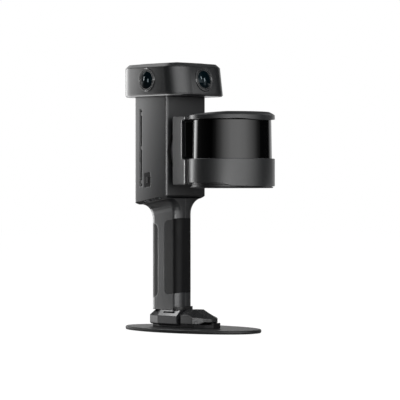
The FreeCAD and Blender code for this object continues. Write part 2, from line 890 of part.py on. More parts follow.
def pill(length, width, z0, z1, x=0.0):
    """Slot shape with round ends, long in X."""
    straight = length / 2 - width / 2
    parts = [box(x - straight, x + straight, -width / 2, width / 2, z0, z1)]
    parts += [rod(width / 2, z1 - z0, Vec(x + s * straight, 0, z0)) for s in (-1, 1)]
    return joined(parts)


usb_length = 8.4
usb_width = 2.9
usb_place = -10.5
card_length = 7.0
card_width = 1.9
card_place = 1.6
light_radius = 0.9
light_place = 13.4


def port_holes():
    return [pill(usb_length + 0.3, usb_width + 0.3, -8, 1, usb_place),
            box(card_place - card_length / 2 - 0.15, card_place + card_length / 2 + 0.15,
                -card_width / 2 - 0.15, card_width / 2 + 0.15, -8, 1),
            rod(light_radius + 0.05, 9, Vec(light_place, 0, -8))]


def make_port_plate():
    strip = pill(port_strip_length, port_strip_width, -port_strip_depth, -0.25)
    return on_bevel(strip.cut(port_holes()))


def make_port_sockets():
    usb = pill(usb_length, usb_width, -7.0, -0.5, usb_place)
    usb = usb.cut(pill(usb_length - 0.9, usb_width - 0.9, -5.8, 0, usb_place))
    tongue = box(usb_place - 2.6, usb_place + 2.6, -0.3, 0.3, -5.8, -1.2)
    card = box(card_place - card_length / 2, card_place + card_length / 2, -card_width / 2,
               card_width / 2, -7.0, -0.5)
    card = card.cut(box(card_place - card_length / 2 + 0.4, card_place + card_length / 2 - 0.4,
                        -card_width / 2 + 0.4, card_width / 2 - 0.4, -6.4, 0))
    return [on_bevel(joined([usb, tongue])), on_bevel(card)]


def make_status_light():
    return on_bevel(rod(light_radius, 6.8, Vec(light_place, 0, -7.0)))


def make_port_board():
    board = box(-17.0, 17.0, -7.0, 2.3, -8.6, -7.0)
    return on_bevel(board)


def button_outline(grow):
    """Corners of the button panel in the side view, parallel to the body's underside."""
    half = button_panel_length / 2 + grow
    tall = button_panel_height / 2 + grow
    return [(button_x + sx * half, button_z + sx * half * base_slope + sz * tall)
            for sx, sz in ((-1, -1), (1, -1), (1, 1), (-1, 1))]


def button_slab(grow, y0, y1, corner):
    points = [Vec(x, y0, z) for x, z in button_outline(grow)]
    face = Part.Face(Part.makePolygon(points + points[:1]))
    slab = face.extrude(Vec(0, y1 - y0, 0))
    edges = [edge for edge in slab.Edges if edge.BoundBox.YLength > abs(y1 - y0) - 0.01]
    return slab.makeFillet(corner, edges)


def upright_pill(height, width, y0, y1, grow=0.0):
    """Slot shape with round ends, tall in Z, along Y, at the button's place."""
    straight = (height - width) / 2
    half = width / 2 + grow
    low, high = min(y0, y1), max(y0, y1)
    parts = [box(button_x - half, button_x + half, low, high, button_z - straight,
                 button_z + straight)]
    parts += [rod(half, high - low, Vec(button_x, low, button_z + s * straight), Y_AXIS)
              for s in (-1, 1)]
    return joined(parts)


def make_button_panel():
    face = -body_half
    panel = button_slab(-0.05, face + 0.15, face + button_panel_depth, 2.0)
    return panel.cut(upright_pill(button_height, button_width, face - 5, face + 5, sliding_gap))


def make_power_button():
    face = -body_half
    cap = upright_pill(button_height, button_width, face - button_proud, face + 3.0)
    flange_y = face + body_wall + 0.4
    neck = upright_pill(button_height - 1.6, button_width - 1.6, face + 2.0, flange_y)
    flange = upright_pill(button_height + 1.2, button_width + 1.2, flange_y, flange_y + 1.0)
    stem = rod(button_stem_radius, 1.4, Vec(button_x, flange_y + 0.5, button_z), Y_AXIS)
    return joined([cap, neck, flange, stem])


def button_board_y():
    return -body_half + body_wall + 0.4 + 1.9 + button_travel + 1.4


def make_button_board():
    y = button_board_y()
    board = box(button_x - 8, button_x + 8, y, y + 1.6, button_z - 10, button_z + 10)
    switch = rod(2.6, 1.1, Vec(button_x, y, button_z), -Y_AXIS)
    legs = [box(button_x + s * 6.8 - 1.0, button_x + s * 6.8 + 1.0, -body_half + body_wall,
                y, button_z - 9.5 * s - 1.0, button_z - 9.5 * s + 1.0) for s in (-1, 1)]
    return joined([board, switch] + legs)


def head_screw_places():
    return [(x, y) for x in (body_rear_x + 6.2, body_front_x - 6.2)
            for y in (-body_half + 6.2, body_half - 6.2)]


def cover_screw_places():
    return [(y, z) for y in (-rear_cover_half + 3.0, rear_cover_half - 3.0)
            for z in (rear_cover_bottom + 3.0, rear_cover_top - 3.0)]


def rear_slab(half, low, high, x0, x1, corner):
    slab = box(x0, x1, -half, half, low, high)
    edges = [edge for edge in slab.Edges if edge.BoundBox.XLength > abs(x1 - x0) - 0.01]
    return slab.makeFillet(corner, edges)


def make_rear_cover():
    x = body_rear_x
    ledge = 6.0
    plate = rear_slab(rear_cover_half - seat_gap, rear_cover_bottom + seat_gap,
                      rear_cover_top - seat_gap, x, x + 1.3, rear_cover_corner)
    plug = rear_slab(rear_cover_half - ledge - seat_gap, rear_cover_bottom + ledge + seat_gap,
                     rear_cover_top - ledge - seat_gap, x + 1.2, x + body_wall, 3.0)
    ribs = []
    z = 205.0
    while z < 262.0:
        ribs.append(box(x - 0.01, x + 0.6, -rear_cover_half + 9, rear_cover_half - 9, z, z + 1.6))
        z += 4.0
    holes = [rod(1.2, 10, Vec(x - 1, y, z), X_AXIS) for y, z in cover_screw_places()]
    holes += [rod(2.3, 1.9, Vec(x - 1, y, z), X_AXIS) for y, z in cover_screw_places()]
    return joined([plate, plug]).cut(holes + ribs)


def make_cover_screws():
    screws = []
    for y, z in cover_screw_places():
        head = rod(2.2, 0.8, Vec(body_rear_x + 0.1, y, z), X_AXIS)
        shank = rod(1.1, 5.5, Vec(body_rear_x + 0.1, y, z), X_AXIS)
        socket = rod(0.9, 0.5, Vec(body_rear_x + 0.1, y, z), X_AXIS)
        screws.append(joined([head, shank]).cut(socket))
    return screws


def make_body_shell():
    shell = body_solid(0, body_top).cut(body_solid(body_wall, body_top + 1))
    inside = body_solid(body_wall - 0.2, body_top)
    bosses = [rod(4.2, 14, Vec(x, y, body_top - 14)) for x, y in head_screw_places()]
    bosses += [rod(2.8, 3.4, Vec(body_rear_x + 2.0, y, z), X_AXIS) for y, z in cover_screw_places()]
    bosses += chassis_ledges()
    shell = joined([shell] + [boss.common(inside) for boss in bosses])
    x = body_rear_x
    ledge = 6.0
    cutters = vent_cutters()
    cutters.append(rear_slab(rear_cover_half, rear_cover_bottom, rear_cover_top, x - 1, x + 1.3,
                             rear_cover_corner))
    cutters.append(rear_slab(rear_cover_half - ledge, rear_cover_bottom + ledge,
                             rear_cover_top - ledge, x - 1, x + 5, 3.0))
    cutters += [rod(1.1, 5.0, Vec(x + 1, y, z), X_AXIS) for y, z in cover_screw_places()]
    cutters += [rod(1.3, 11, Vec(x_, y_, body_top - 10)) for x_, y_ in head_screw_places()]
    cutters.append(rod(housing_radius + seat_gap, 12, Vec(body_front_x - 6, 0, spin_z), X_AXIS))
    cutters += [rod(1.2, 8, Vec(body_front_x - 6, y, z), X_AXIS) for y, z in housing_screw_places()]
    cutters.append(button_slab(0, -body_half - 1, -body_half + button_panel_depth, 2.0))
    cutters.append(upright_pill(button_height, button_width, -body_half - 1, -body_half + 6,
                                sliding_gap))
    cutters.append(on_bevel(pill(port_strip_length + 0.1, port_strip_width + 0.1,
                                 -port_strip_depth, 3)))
    cutters += [on_bevel(hole) for hole in port_holes()]
    cutters.append(rounded_prism(-17.0, 17.0, 9.0, 4.0, 140, 175))
    return shell.cut(cutters)


def housing_screw_places():
    reach = (housing_radius + housing_flange) / 2
    angles = [45 + 90 * k for k in range(4)]
    return [(reach * math.cos(math.radians(a)), spin_z + reach * math.sin(math.radians(a)))
            for a in angles]


chassis_z = spin_z + housing_flange + 1.6
chassis_thickness = 1.6


def chassis_ledges():
    """Ledges on both side walls that carry the chassis plate."""
    ledges = []
    for side in (-1, 1):
        wall = side * (body_half - body_wall + 0.5)
        inner = side * (body_half - body_wall - 4.0)
        ledges.append(box(-16.0, 20.0, min(wall, inner), max(wall, inner), chassis_z - 2.4, chassis_z))
    return ledges


board_half = body_half - 4.5
board_screw_y = board_half - 5.0


def board_screw_places():
    return [(x, y) for x in (-12.0, 16.0) for y in (-board_screw_y, board_screw_y)]


def make_chassis_plate():
    half = body_half - body_wall - sliding_gap
    plate = box(-17.4, 22.5, -half, half, chassis_z, chassis_z + chassis_thickness)
    studs = [rod(2.4, 2.6, Vec(x, y, chassis_z + chassis_thickness)) for x, y in board_screw_places()]
    holes = [rod(1.0, 8, Vec(x, y, chassis_z - 2)) for x, y in board_screw_places()]
    wires = box(-17.5, -14.0, -10, 10, chassis_z - 1, chassis_z + 3)
    return joined([plate] + studs).cut(holes + [wires])


board_z = chassis_z + chassis_thickness + 2.6


def make_main_board():
    board = box(-19.5, 22.0, -board_half, board_half, board_z, board_z + 1.6)
    edge = board_screw_y - 4.5
    chips = [box(-17.0, -9.0, -edge, -edge + 10.0, board_z + 1.6, board_z + 2.8),
             box(-17.0, -9.0, edge - 12.0, edge - 2.0, board_z + 1.6, board_z + 2.8),
             box(-19.0, -15.5, -7.0, 5.0, board_z + 1.6, board_z + 5.0)]
    holes = [rod(1.2, 4, Vec(x, y, board_z - 1)) for x, y in board_screw_places()]
    base = box(cooler_x - 11, cooler_x + 11, -11, 11, board_z + 1.6, board_z + 3.0)
    die = box(cooler_x - 6, cooler_x + 6, -6, 6, board_z + 3.0, sink_z)
    return joined([board, base, die] + chips).cut(holes)


def make_board_screws():
    screws = []
    for x, y in board_screw_places():
        head = rod(1.9, 1.4, Vec(x, y, board_z + 1.6))
        shank = rod(0.95, 5.2, Vec(x, y, board_z - 3.4))
        screws.append(joined([head, shank]))
    return screws


cooler_x = 2.0
fan_size = 40.0
fan_depth = 9.0
fan_hub_radius = 9.0
fan_tip_radius = 17.6
fan_blades = 7


sink_z = board_z + 3.8


def make_heat_sink():
    half = fan_size / 2
    base = box(cooler_x - half + 3, cooler_x + half - 3, -half, half, sink_z, sink_z + 2.4)
    fins = []
    y = -half
    while y <= half - 1.0:
        fins.append(box(cooler_x - half + 3, cooler_x + half - 3, y, y + 1.0, sink_z + 2.3,
                        sink_z + 9.5))
        y += 3.9
    return joined([base] + fins)


fan_z = sink_z + 9.5


def make_fan_frame():
    half = fan_size / 2
    frame = box(cooler_x - half, cooler_x + half, -half, half, fan_z, fan_z + fan_depth)
    frame = frame.makeFillet(2.5, upright_edges(frame, fan_z - 1, fan_z + fan_depth + 1))
    frame = frame.cut(rod(fan_tip_radius + 0.8, fan_depth + 2, Vec(cooler_x, 0, fan_z - 1)))
    arms = [box(cooler_x, cooler_x + fan_tip_radius + 1.5, -0.9, 0.9, fan_z, fan_z + 1.2)
            for _ in range(3)]
    for index, arm in enumerate(arms):
        arm.rotate(Vec(cooler_x, 0, 0), Z_AXIS, 30 + 120 * index)
    disc = rod(7.0, 1.2, Vec(cooler_x, 0, fan_z))
    post = rod(1.2, fan_depth - 2.6, Vec(cooler_x, 0, fan_z))
    holes = [rod(1.6, fan_depth + 2, Vec(cooler_x + sx * 16.5, sy * 16.5, fan_z - 1))
             for sx in (-1, 1) for sy in (-1, 1)]
    return joined([frame, disc, post] + arms).cut(holes)


def make_fan_rotor():
    low = fan_z + 1.2 + moving_gap
    high = fan_z + fan_depth - 0.8
    hub = rod(fan_hub_radius, high - low, Vec(cooler_x, 0, low))
    blades = []
    for index in range(fan_blades):
        blade = box(fan_hub_radius - 1.5, fan_tip_radius, -0.5, 0.5, -3.0, 3.0)
        blade.rotate(Vec(0, 0, 0), X_AXIS, 42)
        blade.rotate(Vec(0, 0, 0), Z_AXIS, 360.0 * index / fan_blades)
        blade.translate(Vec(cooler_x, 0, (low + high) / 2))
        blades.append(blade)
    rotor = joined([hub] + blades)
    rotor = rotor.common(rod(fan_tip_radius, high - low, Vec(cooler_x, 0, low)))
    bore = rod(1.2 + running_fit, high - low - 1.2, Vec(cooler_x, 0, low - 0.01))
    return rotor.cut(bore)


power_board_z = 176.4


def make_power_board():
    """Power board across the lower bay, on two legs that stand on the body's floor."""
    z = power_board_z
    board = box(-25.0, 20.0, -16.0, body_half - 7.0, z, z + 1.6)
    parts = [rod(4.0, 9.0, Vec(12.0, y, z + 1.6)) for y in (-6.0, 6.0)]
    parts.append(box(-4.0, 6.0, -8.0, 8.0, z + 1.6, z + 6.6))
    bay = body_solid(body_wall, body_top)
    legs = [rod(2.2, z - under_z(x), Vec(x, y, under_z(x))).common(bay)
            for x, y in ((-21.0, -12.5), (-21.0, body_half - 12.0))]
    return joined([board] + parts + legs)


# Rotary drive that spins the lidar unit about the forward axis
def drive_ring(outer, inner, x0, x1):
    return ring(outer, inner, x1 - x0, Vec(x0, 0, spin_z), X_AXIS)


def make_bearing_housing():
    front = body_front_x
    wall_x = body_front_x - body_wall
    body = joined([rod(housing_radius, front - housing_rear_x, Vec(housing_rear_x, 0, spin_z), X_AXIS),
                   rod(housing_flange, housing_flange_thickness,
                       Vec(wall_x - housing_flange_thickness, 0, spin_z), X_AXIS)])
    cuts = [rod(bearing_radius, bearing_width + 30, Vec(front_bearing_x, 0, spin_z), X_AXIS),
            rod(bearing_radius, rear_bearing_x + bearing_width - housing_rear_x + 1,
                Vec(housing_rear_x - 1, 0, spin_z), X_AXIS),
            rod(bearing_radius - 2.4, 60, Vec(housing_rear_x - 5, 0, spin_z), X_AXIS)]
    cuts += [rod(1.0, 8, Vec(wall_x - 4, y, z), X_AXIS) for y, z in housing_screw_places()]
    return body.cut(cuts)


def make_housing_screws():
    screws = []
    for y, z in housing_screw_places():
        start = body_front_x - body_wall - housing_flange_thickness
        shank = rod(1.0, housing_flange_thickness + body_wall - 0.6, Vec(start, y, z), X_AXIS)
        head = rod(1.8, 1.4, Vec(start - 1.4, y, z), X_AXIS)
        screws.append(joined([shank, head]))
    return screws


def make_bearing(x):
    """Thin-section ball bearing as its outer race, balls in a groove and inner race."""
    inner_edge = shaft_radius + running_fit
    middle = (inner_edge + bearing_radius) / 2
    ball = 1.5
    gap = 0.9
    outer = drive_ring(bearing_radius, middle + gap, x, x + bearing_width)
    inner = drive_ring(middle - gap, inner_edge, x, x + bearing_width)
    track = Part.makeTorus(middle, ball + 0.02, Vec(x + bearing_width / 2, 0, spin_z), X_AXIS)
    balls = []
    for index in range(12):
        angle = math.radians(30 * index)
        centre = Vec(x + bearing_width / 2, middle * math.cos(angle), spin_z + middle * math.sin(angle))
        balls.append(Part.makeSphere(ball, centre))
    return [outer.cut(track), inner.cut(track)] + balls


def make_drive_cup():
    front = housing_rear_x
    cup = drive_ring(housing_flange, housing_flange - cup_wall, cup_rear_x, front)
    collar = drive_ring(housing_flange, bearing_radius + 0.5, front - 0.5, front)
    floor = drive_ring(housing_flange, slip_radius + seat_gap, cup_rear_x, cup_rear_x + 2.0)
    ties = []
    for y, z in cup_tie_places():
        length = body_front_x - body_wall - housing_flange_thickness - front
        ties.append(rod(1.6, length, Vec(front, y, z), X_AXIS))
    return joined([cup, collar, floor] + ties)


def cup_tie_places():
    reach = (housing_radius + housing_flange) / 2 + 0.4
    return [(reach * math.cos(math.radians(a)), spin_z + reach * math.sin(math.radians(a)))
            for a in (0, 90, 180, 270)]


def make_motor_stator():
    outer = housing_flange - cup_wall
    core = drive_ring(outer, stator_bore, stator_front_x - stator_length, stator_front_x)
    slots = []
    for index in range(12):
        slot = box(stator_front_x - stator_length - 1, stator_front_x + 1, -1.3, 1.3,
                   stator_bore + 1.2, outer - 2.0)
        slot.rotate(Vec(0, 0, 0), X_AXIS, 30 * index)
        slot.translate(Vec(0, 0, spin_z))
        slots.append(slot)
    return core.cut(slots)


def make_motor_rotor():
    return drive_ring(rotor_radius, shaft_radius, stator_front_x - stator_length, stator_front_x)


def make_encoder_disc():
    x = shaft_rear_x
    disc = drive_ring(encoder_radius, slip_radius + 2.4, x - encoder_thickness, x)
    marks = []
    for index in range(36):
        mark = box(x - 2, x + 1, -0.5, 0.5, encoder_radius - 3.0, encoder_radius - 1.0)
        mark.rotate(Vec(0, 0, 0), X_AXIS, 10 * index)
        mark.translate(Vec(0, 0, spin_z))
        marks.append(mark)
    return disc.cut(marks)


def make_encoder_board():
    x = shaft_rear_x - encoder_thickness - 1.4
    board = drive_ring(housing_flange - cup_wall, slip_radius + 2.6, x - 1.6, x)
    reader = box(x, x + 0.9, -3.5, 3.5, spin_z + encoder_radius - 5, spin_z + encoder_radius)
    return joined([board, reader])


def make_slip_ring_body():
    flange = rod(slip_radius + 4.0, 1.8, Vec(cup_rear_x + 2.0, 0, spin_z), X_AXIS)
    barrel = rod(slip_radius, slip_length, Vec(cup_rear_x, 0, spin_z), X_AXIS)
    leads = rod(2.0, 1.6, Vec(cup_rear_x - 1.6, 0, spin_z), X_AXIS)
    return joined([flange, barrel, leads])


def make_slip_ring_rotor():
    x0 = cup_rear_x + slip_length + moving_gap
    return drive_ring(shaft_bore, 2.4, x0, x0 + 16.0)


def make_hub_shaft():
    flange = rod(hub_radius, hub_front_x - hub_rear_x, Vec(hub_rear_x, 0, spin_z), X_AXIS)
    rims = [edge for edge in flange.Edges if edge.BoundBox.XLength < 1e-6]
    flange = flange.makeChamfer(1.0, rims)
    shaft = rod(shaft_radius, hub_rear_x - shaft_rear_x, Vec(shaft_rear_x, 0, spin_z), X_AXIS)
    bore = rod(shaft_bore, 80, Vec(shaft_rear_x - 10, 0, spin_z), X_AXIS)
    holes = [rod(1.25, 10, Vec(hub_rear_x - 1, y, z), X_AXIS) for y, z in hub_screw_places()]
    heads = [rod(2.4, 2.3, Vec(hub_rear_x - 1, y, z), X_AXIS) for y, z in hub_screw_places()]
    return joined([flange, shaft]).cut([bore] + holes + heads)


def hub_screw_places():
    reach = hub_radius - hub_screw_margin
    return [(reach * math.cos(math.radians(a)), spin_z + reach * math.sin(math.radians(a)))
            for a in (30, 90, 150, 210, 270, 330)]


def make_hub_screws():
    screws = []
    for y, z in hub_screw_places():
        head = rod(2.3, 1.2, Vec(hub_rear_x + 0.1, y, z), X_AXIS)
        shank = rod(1.2, 10.5, Vec(hub_rear_x + 0.1, y, z), X_AXIS)
        screws.append(joined([head, shank]))
    return screws


def make_shaft_seal():
    return drive_ring(seal_radius, housing_radius + seat_gap, body_front_x, body_front_x + seal_thickness)


# Head with three cameras
head_rear_x = head_centre_x - head_half_x
head_floor_top = body_top + head_floor_thickness


def head_front(z):
    """The front face leans back towards the top."""
    lean = head_lean * (z - body_top) / (head_top - body_top)
    return head_centre_x + head_half_x + 1.7 - lean


def head_section(inset, z):
    return (head_rear_x + inset, head_front(z) - inset, head_half_y - inset,
            max(head_corner - inset, 2.0), z)


def make_head_floor():
    floor = rounded_loft([head_section(head_floor_chamfer, body_top),
                          head_section(0, body_top + head_floor_chamfer),
                          head_section(0, head_floor_top)])
    lip = rounded_loft([head_section(head_wall + seat_gap, head_floor_top - 0.5),
                        head_section(head_wall + seat_gap, head_floor_top + 1.6)])
    lip = lip.cut(rounded_loft([head_section(head_wall + 1.6, head_floor_top),
                                head_section(head_wall + 1.6, head_floor_top + 2)]))
    posts = [rod(2.6, 4.0, Vec(x, y, head_floor_top)) for x, y in head_post_places()]
    holes = [rod(1.6, 8, Vec(x, y, body_top - 1)) for x, y in head_screw_places()]
    holes += [rod(1.0, 6, Vec(x, y, head_floor_top)) for x, y in head_post_places()]
    holes.append(rounded_prism(-12.0, 12.0, 8.0, 3.0, body_top - 1, head_floor_top + 3))
    return joined([floor, lip] + posts).cut(holes)


def head_post_places():
    return [(x, y) for x in (-30.0, 26.0) for y in (-20.0, 20.0)]


def camera_frames():
    """Places of the near, front and far camera: local z points out of the face."""
    tilt = math.atan2(head_lean, head_top - body_top)
    forward = Vec(math.cos(tilt), 0, math.sin(tilt))
    spots = [(Vec(side_camera_x, -head_half_y, camera_z), Vec(0, -1, 0), Vec(1, 0, 0)),
             (Vec(head_front(camera_z), 0, camera_z), forward, Vec(0, 1, 0)),
             (Vec(side_camera_x, head_half_y, camera_z), Vec(0, 1, 0), Vec(-1, 0, 0))]
    frames = []
    for origin, out, across in spots:
        frames.append(FreeCAD.Placement(origin, FreeCAD.Rotation(across, out.cross(across), out, "ZXY")))
    return frames


def at_cameras(shape):
    copies = []
    for frame in camera_frames():
        piece = shape.copy()
        piece.Placement = frame.multiply(piece.Placement)
        copies.append(piece)
    return copies


def make_camera_bezels():
    ring_part = rod(bezel_radius, bezel_proud + bezel_depth, Vec(0, 0, -bezel_depth))
    outer_rim = [edge for edge in ring_part.Edges if edge.CenterOfMass.z > bezel_proud - 0.01]
    ring_part = ring_part.makeChamfer(0.6, outer_rim)
    flange = rod(bezel_flange_radius, bezel_flange_thickness,
                 Vec(0, 0, -bezel_depth - bezel_flange_thickness))
    cone = Part.makeCone(bezel_bore, bezel_bore + 1.8, 1.6, Vec(0, 0, bezel_proud - 1.59))
    whole = joined([ring_part, flange])
    return at_cameras(whole.cut([rod(bezel_bore, 20, Vec(0, 0, -12)), cone]))


def make_camera_lenses():
    height = lens_proud - 0.4
    dome = (lens_radius ** 2 + height ** 2) / (2 * height)
    ball = Part.makeSphere(dome, Vec(0, 0, lens_proud - dome))
    glass = rod(lens_radius, lens_proud + lens_back, Vec(0, 0, -lens_back)).common(ball)
    return at_cameras(glass)


def make_camera_barrels():
    """Lens barrels, each with its sensor board behind it."""
    back = -lens_back - barrel_length
    tube = rod(barrel_radius, barrel_length, Vec(0, 0, back))
    flange = rod(bezel_radius, 1.6, Vec(0, 0, -bezel_depth - bezel_flange_thickness - 1.6))
    inside = rod(barrel_radius - 2.5, barrel_length + 2, Vec(0, 0, back - 1))
    half = sensor_size / 2
    board = box(-half, half, -half, half, back - sensor_thickness, back)
    chip = box(-5.0, 5.0, -4.0, 4.0, back, back + 1.0)
    plug = box(-6.0, 6.0, 6.0, 10.0, back - sensor_thickness - 2.5, back - sensor_thickness)
    return at_cameras(joined([tube, flange]).cut(inside)) + at_cameras(joined([board, chip, plug]))


def make_head_shell():
    outer = rounded_loft([head_section(0, head_floor_top), head_section(0, head_seam)])
    inner = rounded_loft([head_section(head_wall, head_floor_top), head_section(head_wall, head_seam)])
    shell = outer.cut(inner)
    holes = at_cameras(rod(bezel_radius + seat_gap / 2, 20, Vec(0, 0, -8.0)))
    return shell.cut(holes)


def make_head_top_cover():
    edge_z = head_seam + head_bevel_height
    cover = rounded_loft([head_section(0, head_seam), head_section(head_bevel, edge_z),
                          head_section(head_bevel + 14.0, head_top - 0.5),
                          head_section(head_bevel + 17.5, head_top)])
    hollow = rounded_loft([head_section(head_wall + 1.6, head_seam - 0.5),
                           head_section(head_wall + 4.0, head_seam + 2.0)])
    return cover.cut(hollow)


def make_antenna_module():
    top = head_seam + 2.0
    plate = box(-22.0, 22.0, -22.0, 22.0, top - 1.6, top)
    patch = box(-17.5, 17.5, -17.5, 17.5, top - 5.6, top - 1.6)
    return joined([plate, patch])


def make_head_board():
    z = head_floor_top + 4.0
    board = box(-34.0, 30.0, -24.0, 24.0, z, z + 1.6)
    chips = [box(-8.0, 6.0, -7.0, 7.0, z + 1.6, z + 3.2), box(-26.0, -18.0, -5.0, 5.0, z + 1.6, z + 3.0),
             box(14.0, 24.0, 6.0, 12.0, z + 1.6, z + 4.6), box(14.0, 24.0, -12.0, -6.0, z + 1.6, z + 4.6)]
    holes = [rod(1.2, 4, Vec(x, y, z - 1)) for x, y in head_post_places()]
    holes += [rod(4.0, 6, Vec(x, y, z - 1)) for x, y in head_screw_places()]
    return joined([board] + chips).cut(holes)


def make_head_screws():
    screws = []
    for x, y in head_screw_places():
        head = rod(2.7, 1.8, Vec(x, y, head_floor_top))
        shank = rod(1.25, head_floor_thickness + 8.5, Vec(x, y, head_floor_top - head_floor_thickness - 8.5))
        socket = rod(1.2, 1.0, Vec(x, y, head_floor_top + 0.9))
        screws.append(joined([head, shank]).cut(socket))
    z = head_floor_top + 5.6
    for x, y in head_post_places():
        screws.append(joined([rod(1.9, 1.3, Vec(x, y, z)), rod(0.95, 5.4, Vec(x, y, z - 5.4))]))
    return screws


# Spinning lidar unit
def drum_axis(z):
    return Vec(drum_x, 0, z)


def drum_solid(points):
    """Solid of revolution about the drum's upright axis from (radius, z) corners."""
    return revolved(points, drum_axis(0))


def make_bracket_slab():
    slab = side_prism([(hub_front_x, slab_bottom), (slab_lip_x, slab_bottom),
                       (slab_lip_x, notch_bottom), (slab_front_x, notch_bottom),
                       (slab_front_x, notch_top), (slab_lip_x, notch_top),
                       (slab_lip_x, slab_top), (hub_front_x, slab_top)], slab_half)
    edges = []
    for edge in slab.Edges:
        centre = edge.BoundBox.Center
        rear = abs(centre.x - hub_front_x) < 0.01
        notch = abs(centre.x - slab_front_x) < 0.01
        if edge.BoundBox.YLength > 50 and (rear or notch):
            edges.append(edge)
    slab = slab.makeFillet(slab_corner, edges)
    fronts = [edge for edge in upright_edges(slab, slab_bottom - 1, slab_top + 1)
              if abs(edge.BoundBox.Center.x - slab_lip_x) < 0.01]
    slab = slab.makeFillet(1.2, fronts)
    pocket = pocket_box(0.0, board_pocket_x, slab_front_x + 1)
    lip = pocket_box(pocket_lip, slab_front_x - 1.2, slab_front_x + 1)
    cutters = [pocket, lip, rod(ring_radius, 120, drum_axis(slab_bottom - 5)),
               rod(shaft_bore, 12, Vec(hub_front_x - 1, 0, spin_z), X_AXIS)]
    cutters += [rod(1.2, 7, Vec(hub_front_x - 1, y, z), X_AXIS) for y, z in hub_screw_places()]
    return slab.cut(cutters)


board_pocket_x = slab_front_x - 8.8
pocket_half = slab_half - 9.0
pocket_low = notch_bottom + 4.4
pocket_high = notch_top - 4.8
pocket_lip = 2.0


def pocket_box(grow, x0, x1):
    """Box on the outline of the slab's board pocket, grown by a margin."""
    half = pocket_half + grow
    return box(x0, x1, -half, half, pocket_low - grow, pocket_high + grow)


def make_pocket_cover():
    return pocket_box(pocket_lip - 0.2, slab_front_x - 1.2, slab_front_x - 0.1)


def make_interface_board():
    board = pocket_box(-0.5, board_pocket_x, board_pocket_x + 1.6)
    low = pocket_low + 6.0
    plugs = [box(board_pocket_x + 1.5, board_pocket_x + 5.5, y, y + 8, low, low + 5.0)
             for y in (-pocket_half + 6.0, pocket_half - 14.0)]
    return joined([board] + plugs)


def make_ring_neck():
    pieces = []
    for low, high in ((slab_bottom + 0.7, notch_bottom - 0.6), (notch_top + 0.6, slab_top - 0.4)):
        core = box(slab_lip_x, drum_x - 30, -slab_half + 1.4, slab_half - 1.4, low, high)
        band = box(slab_lip_x + 5.2, slab_lip_x + 8.0, -slab_half + 0.3, slab_half - 0.3, low, high)
        piece = joined([core, band]).cut(rod(ring_radius, 120, drum_axis(150)))
        pieces += [solid for solid in piece.Solids if solid.BoundBox.XMin < slab_lip_x + 1]
    return pieces


def step_profile(step_x, run, rear_z, front_z, far_z):
    """Side outline that removes all between a stepped line and a far level."""
    rise = front_z - rear_z
    return [(drum_x - 70, rear_z), (step_x - run, rear_z), (step_x - run / 2.5, rear_z + rise * 0.12),
            (step_x + run / 2.5, rear_z + rise * 0.88), (step_x + run, front_z), (drum_x + 70, front_z),
            (drum_x + 70, far_z), (drum_x - 70, far_z)]


def make_guard_ring():
    body = ring(ring_radius, ring_radius - ring_wall, ring_top - ring_low, drum_axis(ring_low))
    top_rim = [edge for edge in body.Edges if edge.BoundBox.ZLength < 1e-6
               and abs(edge.CenterOfMass.z - ring_top) < 1e-6 and edge.Curve.Radius > ring_radius - 0.1]
    body = body.makeChamfer(0.5, top_rim)
    return body.cut(side_prism(step_profile(ring_step_x, ring_step_run, ring_high, ring_low, ring_low - 8), 60))


def make_guard_top():
    inner = ring_radius - ring_wall
    body = drum_solid([(0, window_top), (inner, window_top), (inner, cover_low), (ring_radius, cover_low),
                       (ring_radius, cover_edge), (ring_radius - 2.2, cover_edge + 1.7),
                       (ring_radius - 6.5, cover_top), (0, cover_top)])
    body = body.cut(side_prism(step_profile(cover_step_x, cover_step_run, cover_high, cover_low,
                                            cover_low - 8), 60))
    slope = side_prism([(drum_x - 70, cover_top - 4.6), (drum_x + 5, cover_top - 1.6),
                        (drum_x + 30, cover_top + 0.1), (drum_x + 30, cover_top + 5),
                        (drum_x - 70, cover_top + 5)], 60)
    return body.cut(slope)


def make_guard_bottom():
    inner = ring_radius - ring_wall - 0.2
    low = bottom_cover_bottom
    body = drum_solid([(0, low), (bottom_cover_radius - 1.0, low), (bottom_cover_radius, low + 1.0),
                       (bottom_cover_radius, ring_low - 0.2), (inner, ring_low - 0.2),
                       (inner, lidar_base_bottom), (0, lidar_base_bottom)])
    holes = [rod(1.6, 10, Vec(x, y, low - 1)) for x, y in unit_screw_places()]
    holes += [rod(2.9, 3.0, Vec(x, y, low - 1)) for x, y in unit_screw_places()]
    return body.cut(holes)


def unit_screw_places():
    return [(drum_x + 36 * math.cos(math.radians(a)), 36 * math.sin(math.radians(a)))
            for a in (45, 135, 225, 315)]


def make_unit_screws():
    screws = []
    for x, y in unit_screw_places():
        head = rod(2.8, 1.7, Vec(x, y, bottom_cover_bottom + 0.3))
        shank = rod(1.5, 8.2, Vec(x, y, bottom_cover_bottom + 0.3))
        socket = rod(1.3, 1.2, Vec(x, y, bottom_cover_bottom + 0.2))
        screws.append(joined([head, shank]).cut(socket))
    return screws


base_floor = 5.0
post_radius = 14.0
turret_bearing_radius = 11.0
turret_bearing_height = 5.0
post_top = 211.0
window_foot = ring_top - 1.8


def make_lidar_base():
    floor = lidar_base_bottom + base_floor
    body = drum_solid([(0, lidar_base_bottom), (window_radius, lidar_base_bottom),
                       (window_radius, window_foot), (window_radius - 3.4, window_foot),
                       (window_radius - 3.4, floor), (post_radius, floor), (post_radius, post_top),
                       (turret_bearing_radius, post_top), (turret_bearing_radius, floor - 1),
                       (0, floor - 1)])
    holes = [rod(1.5, 5, Vec(x, y, lidar_base_bottom - 0.1)) for x, y in unit_screw_places()]
    return body.cut(holes)


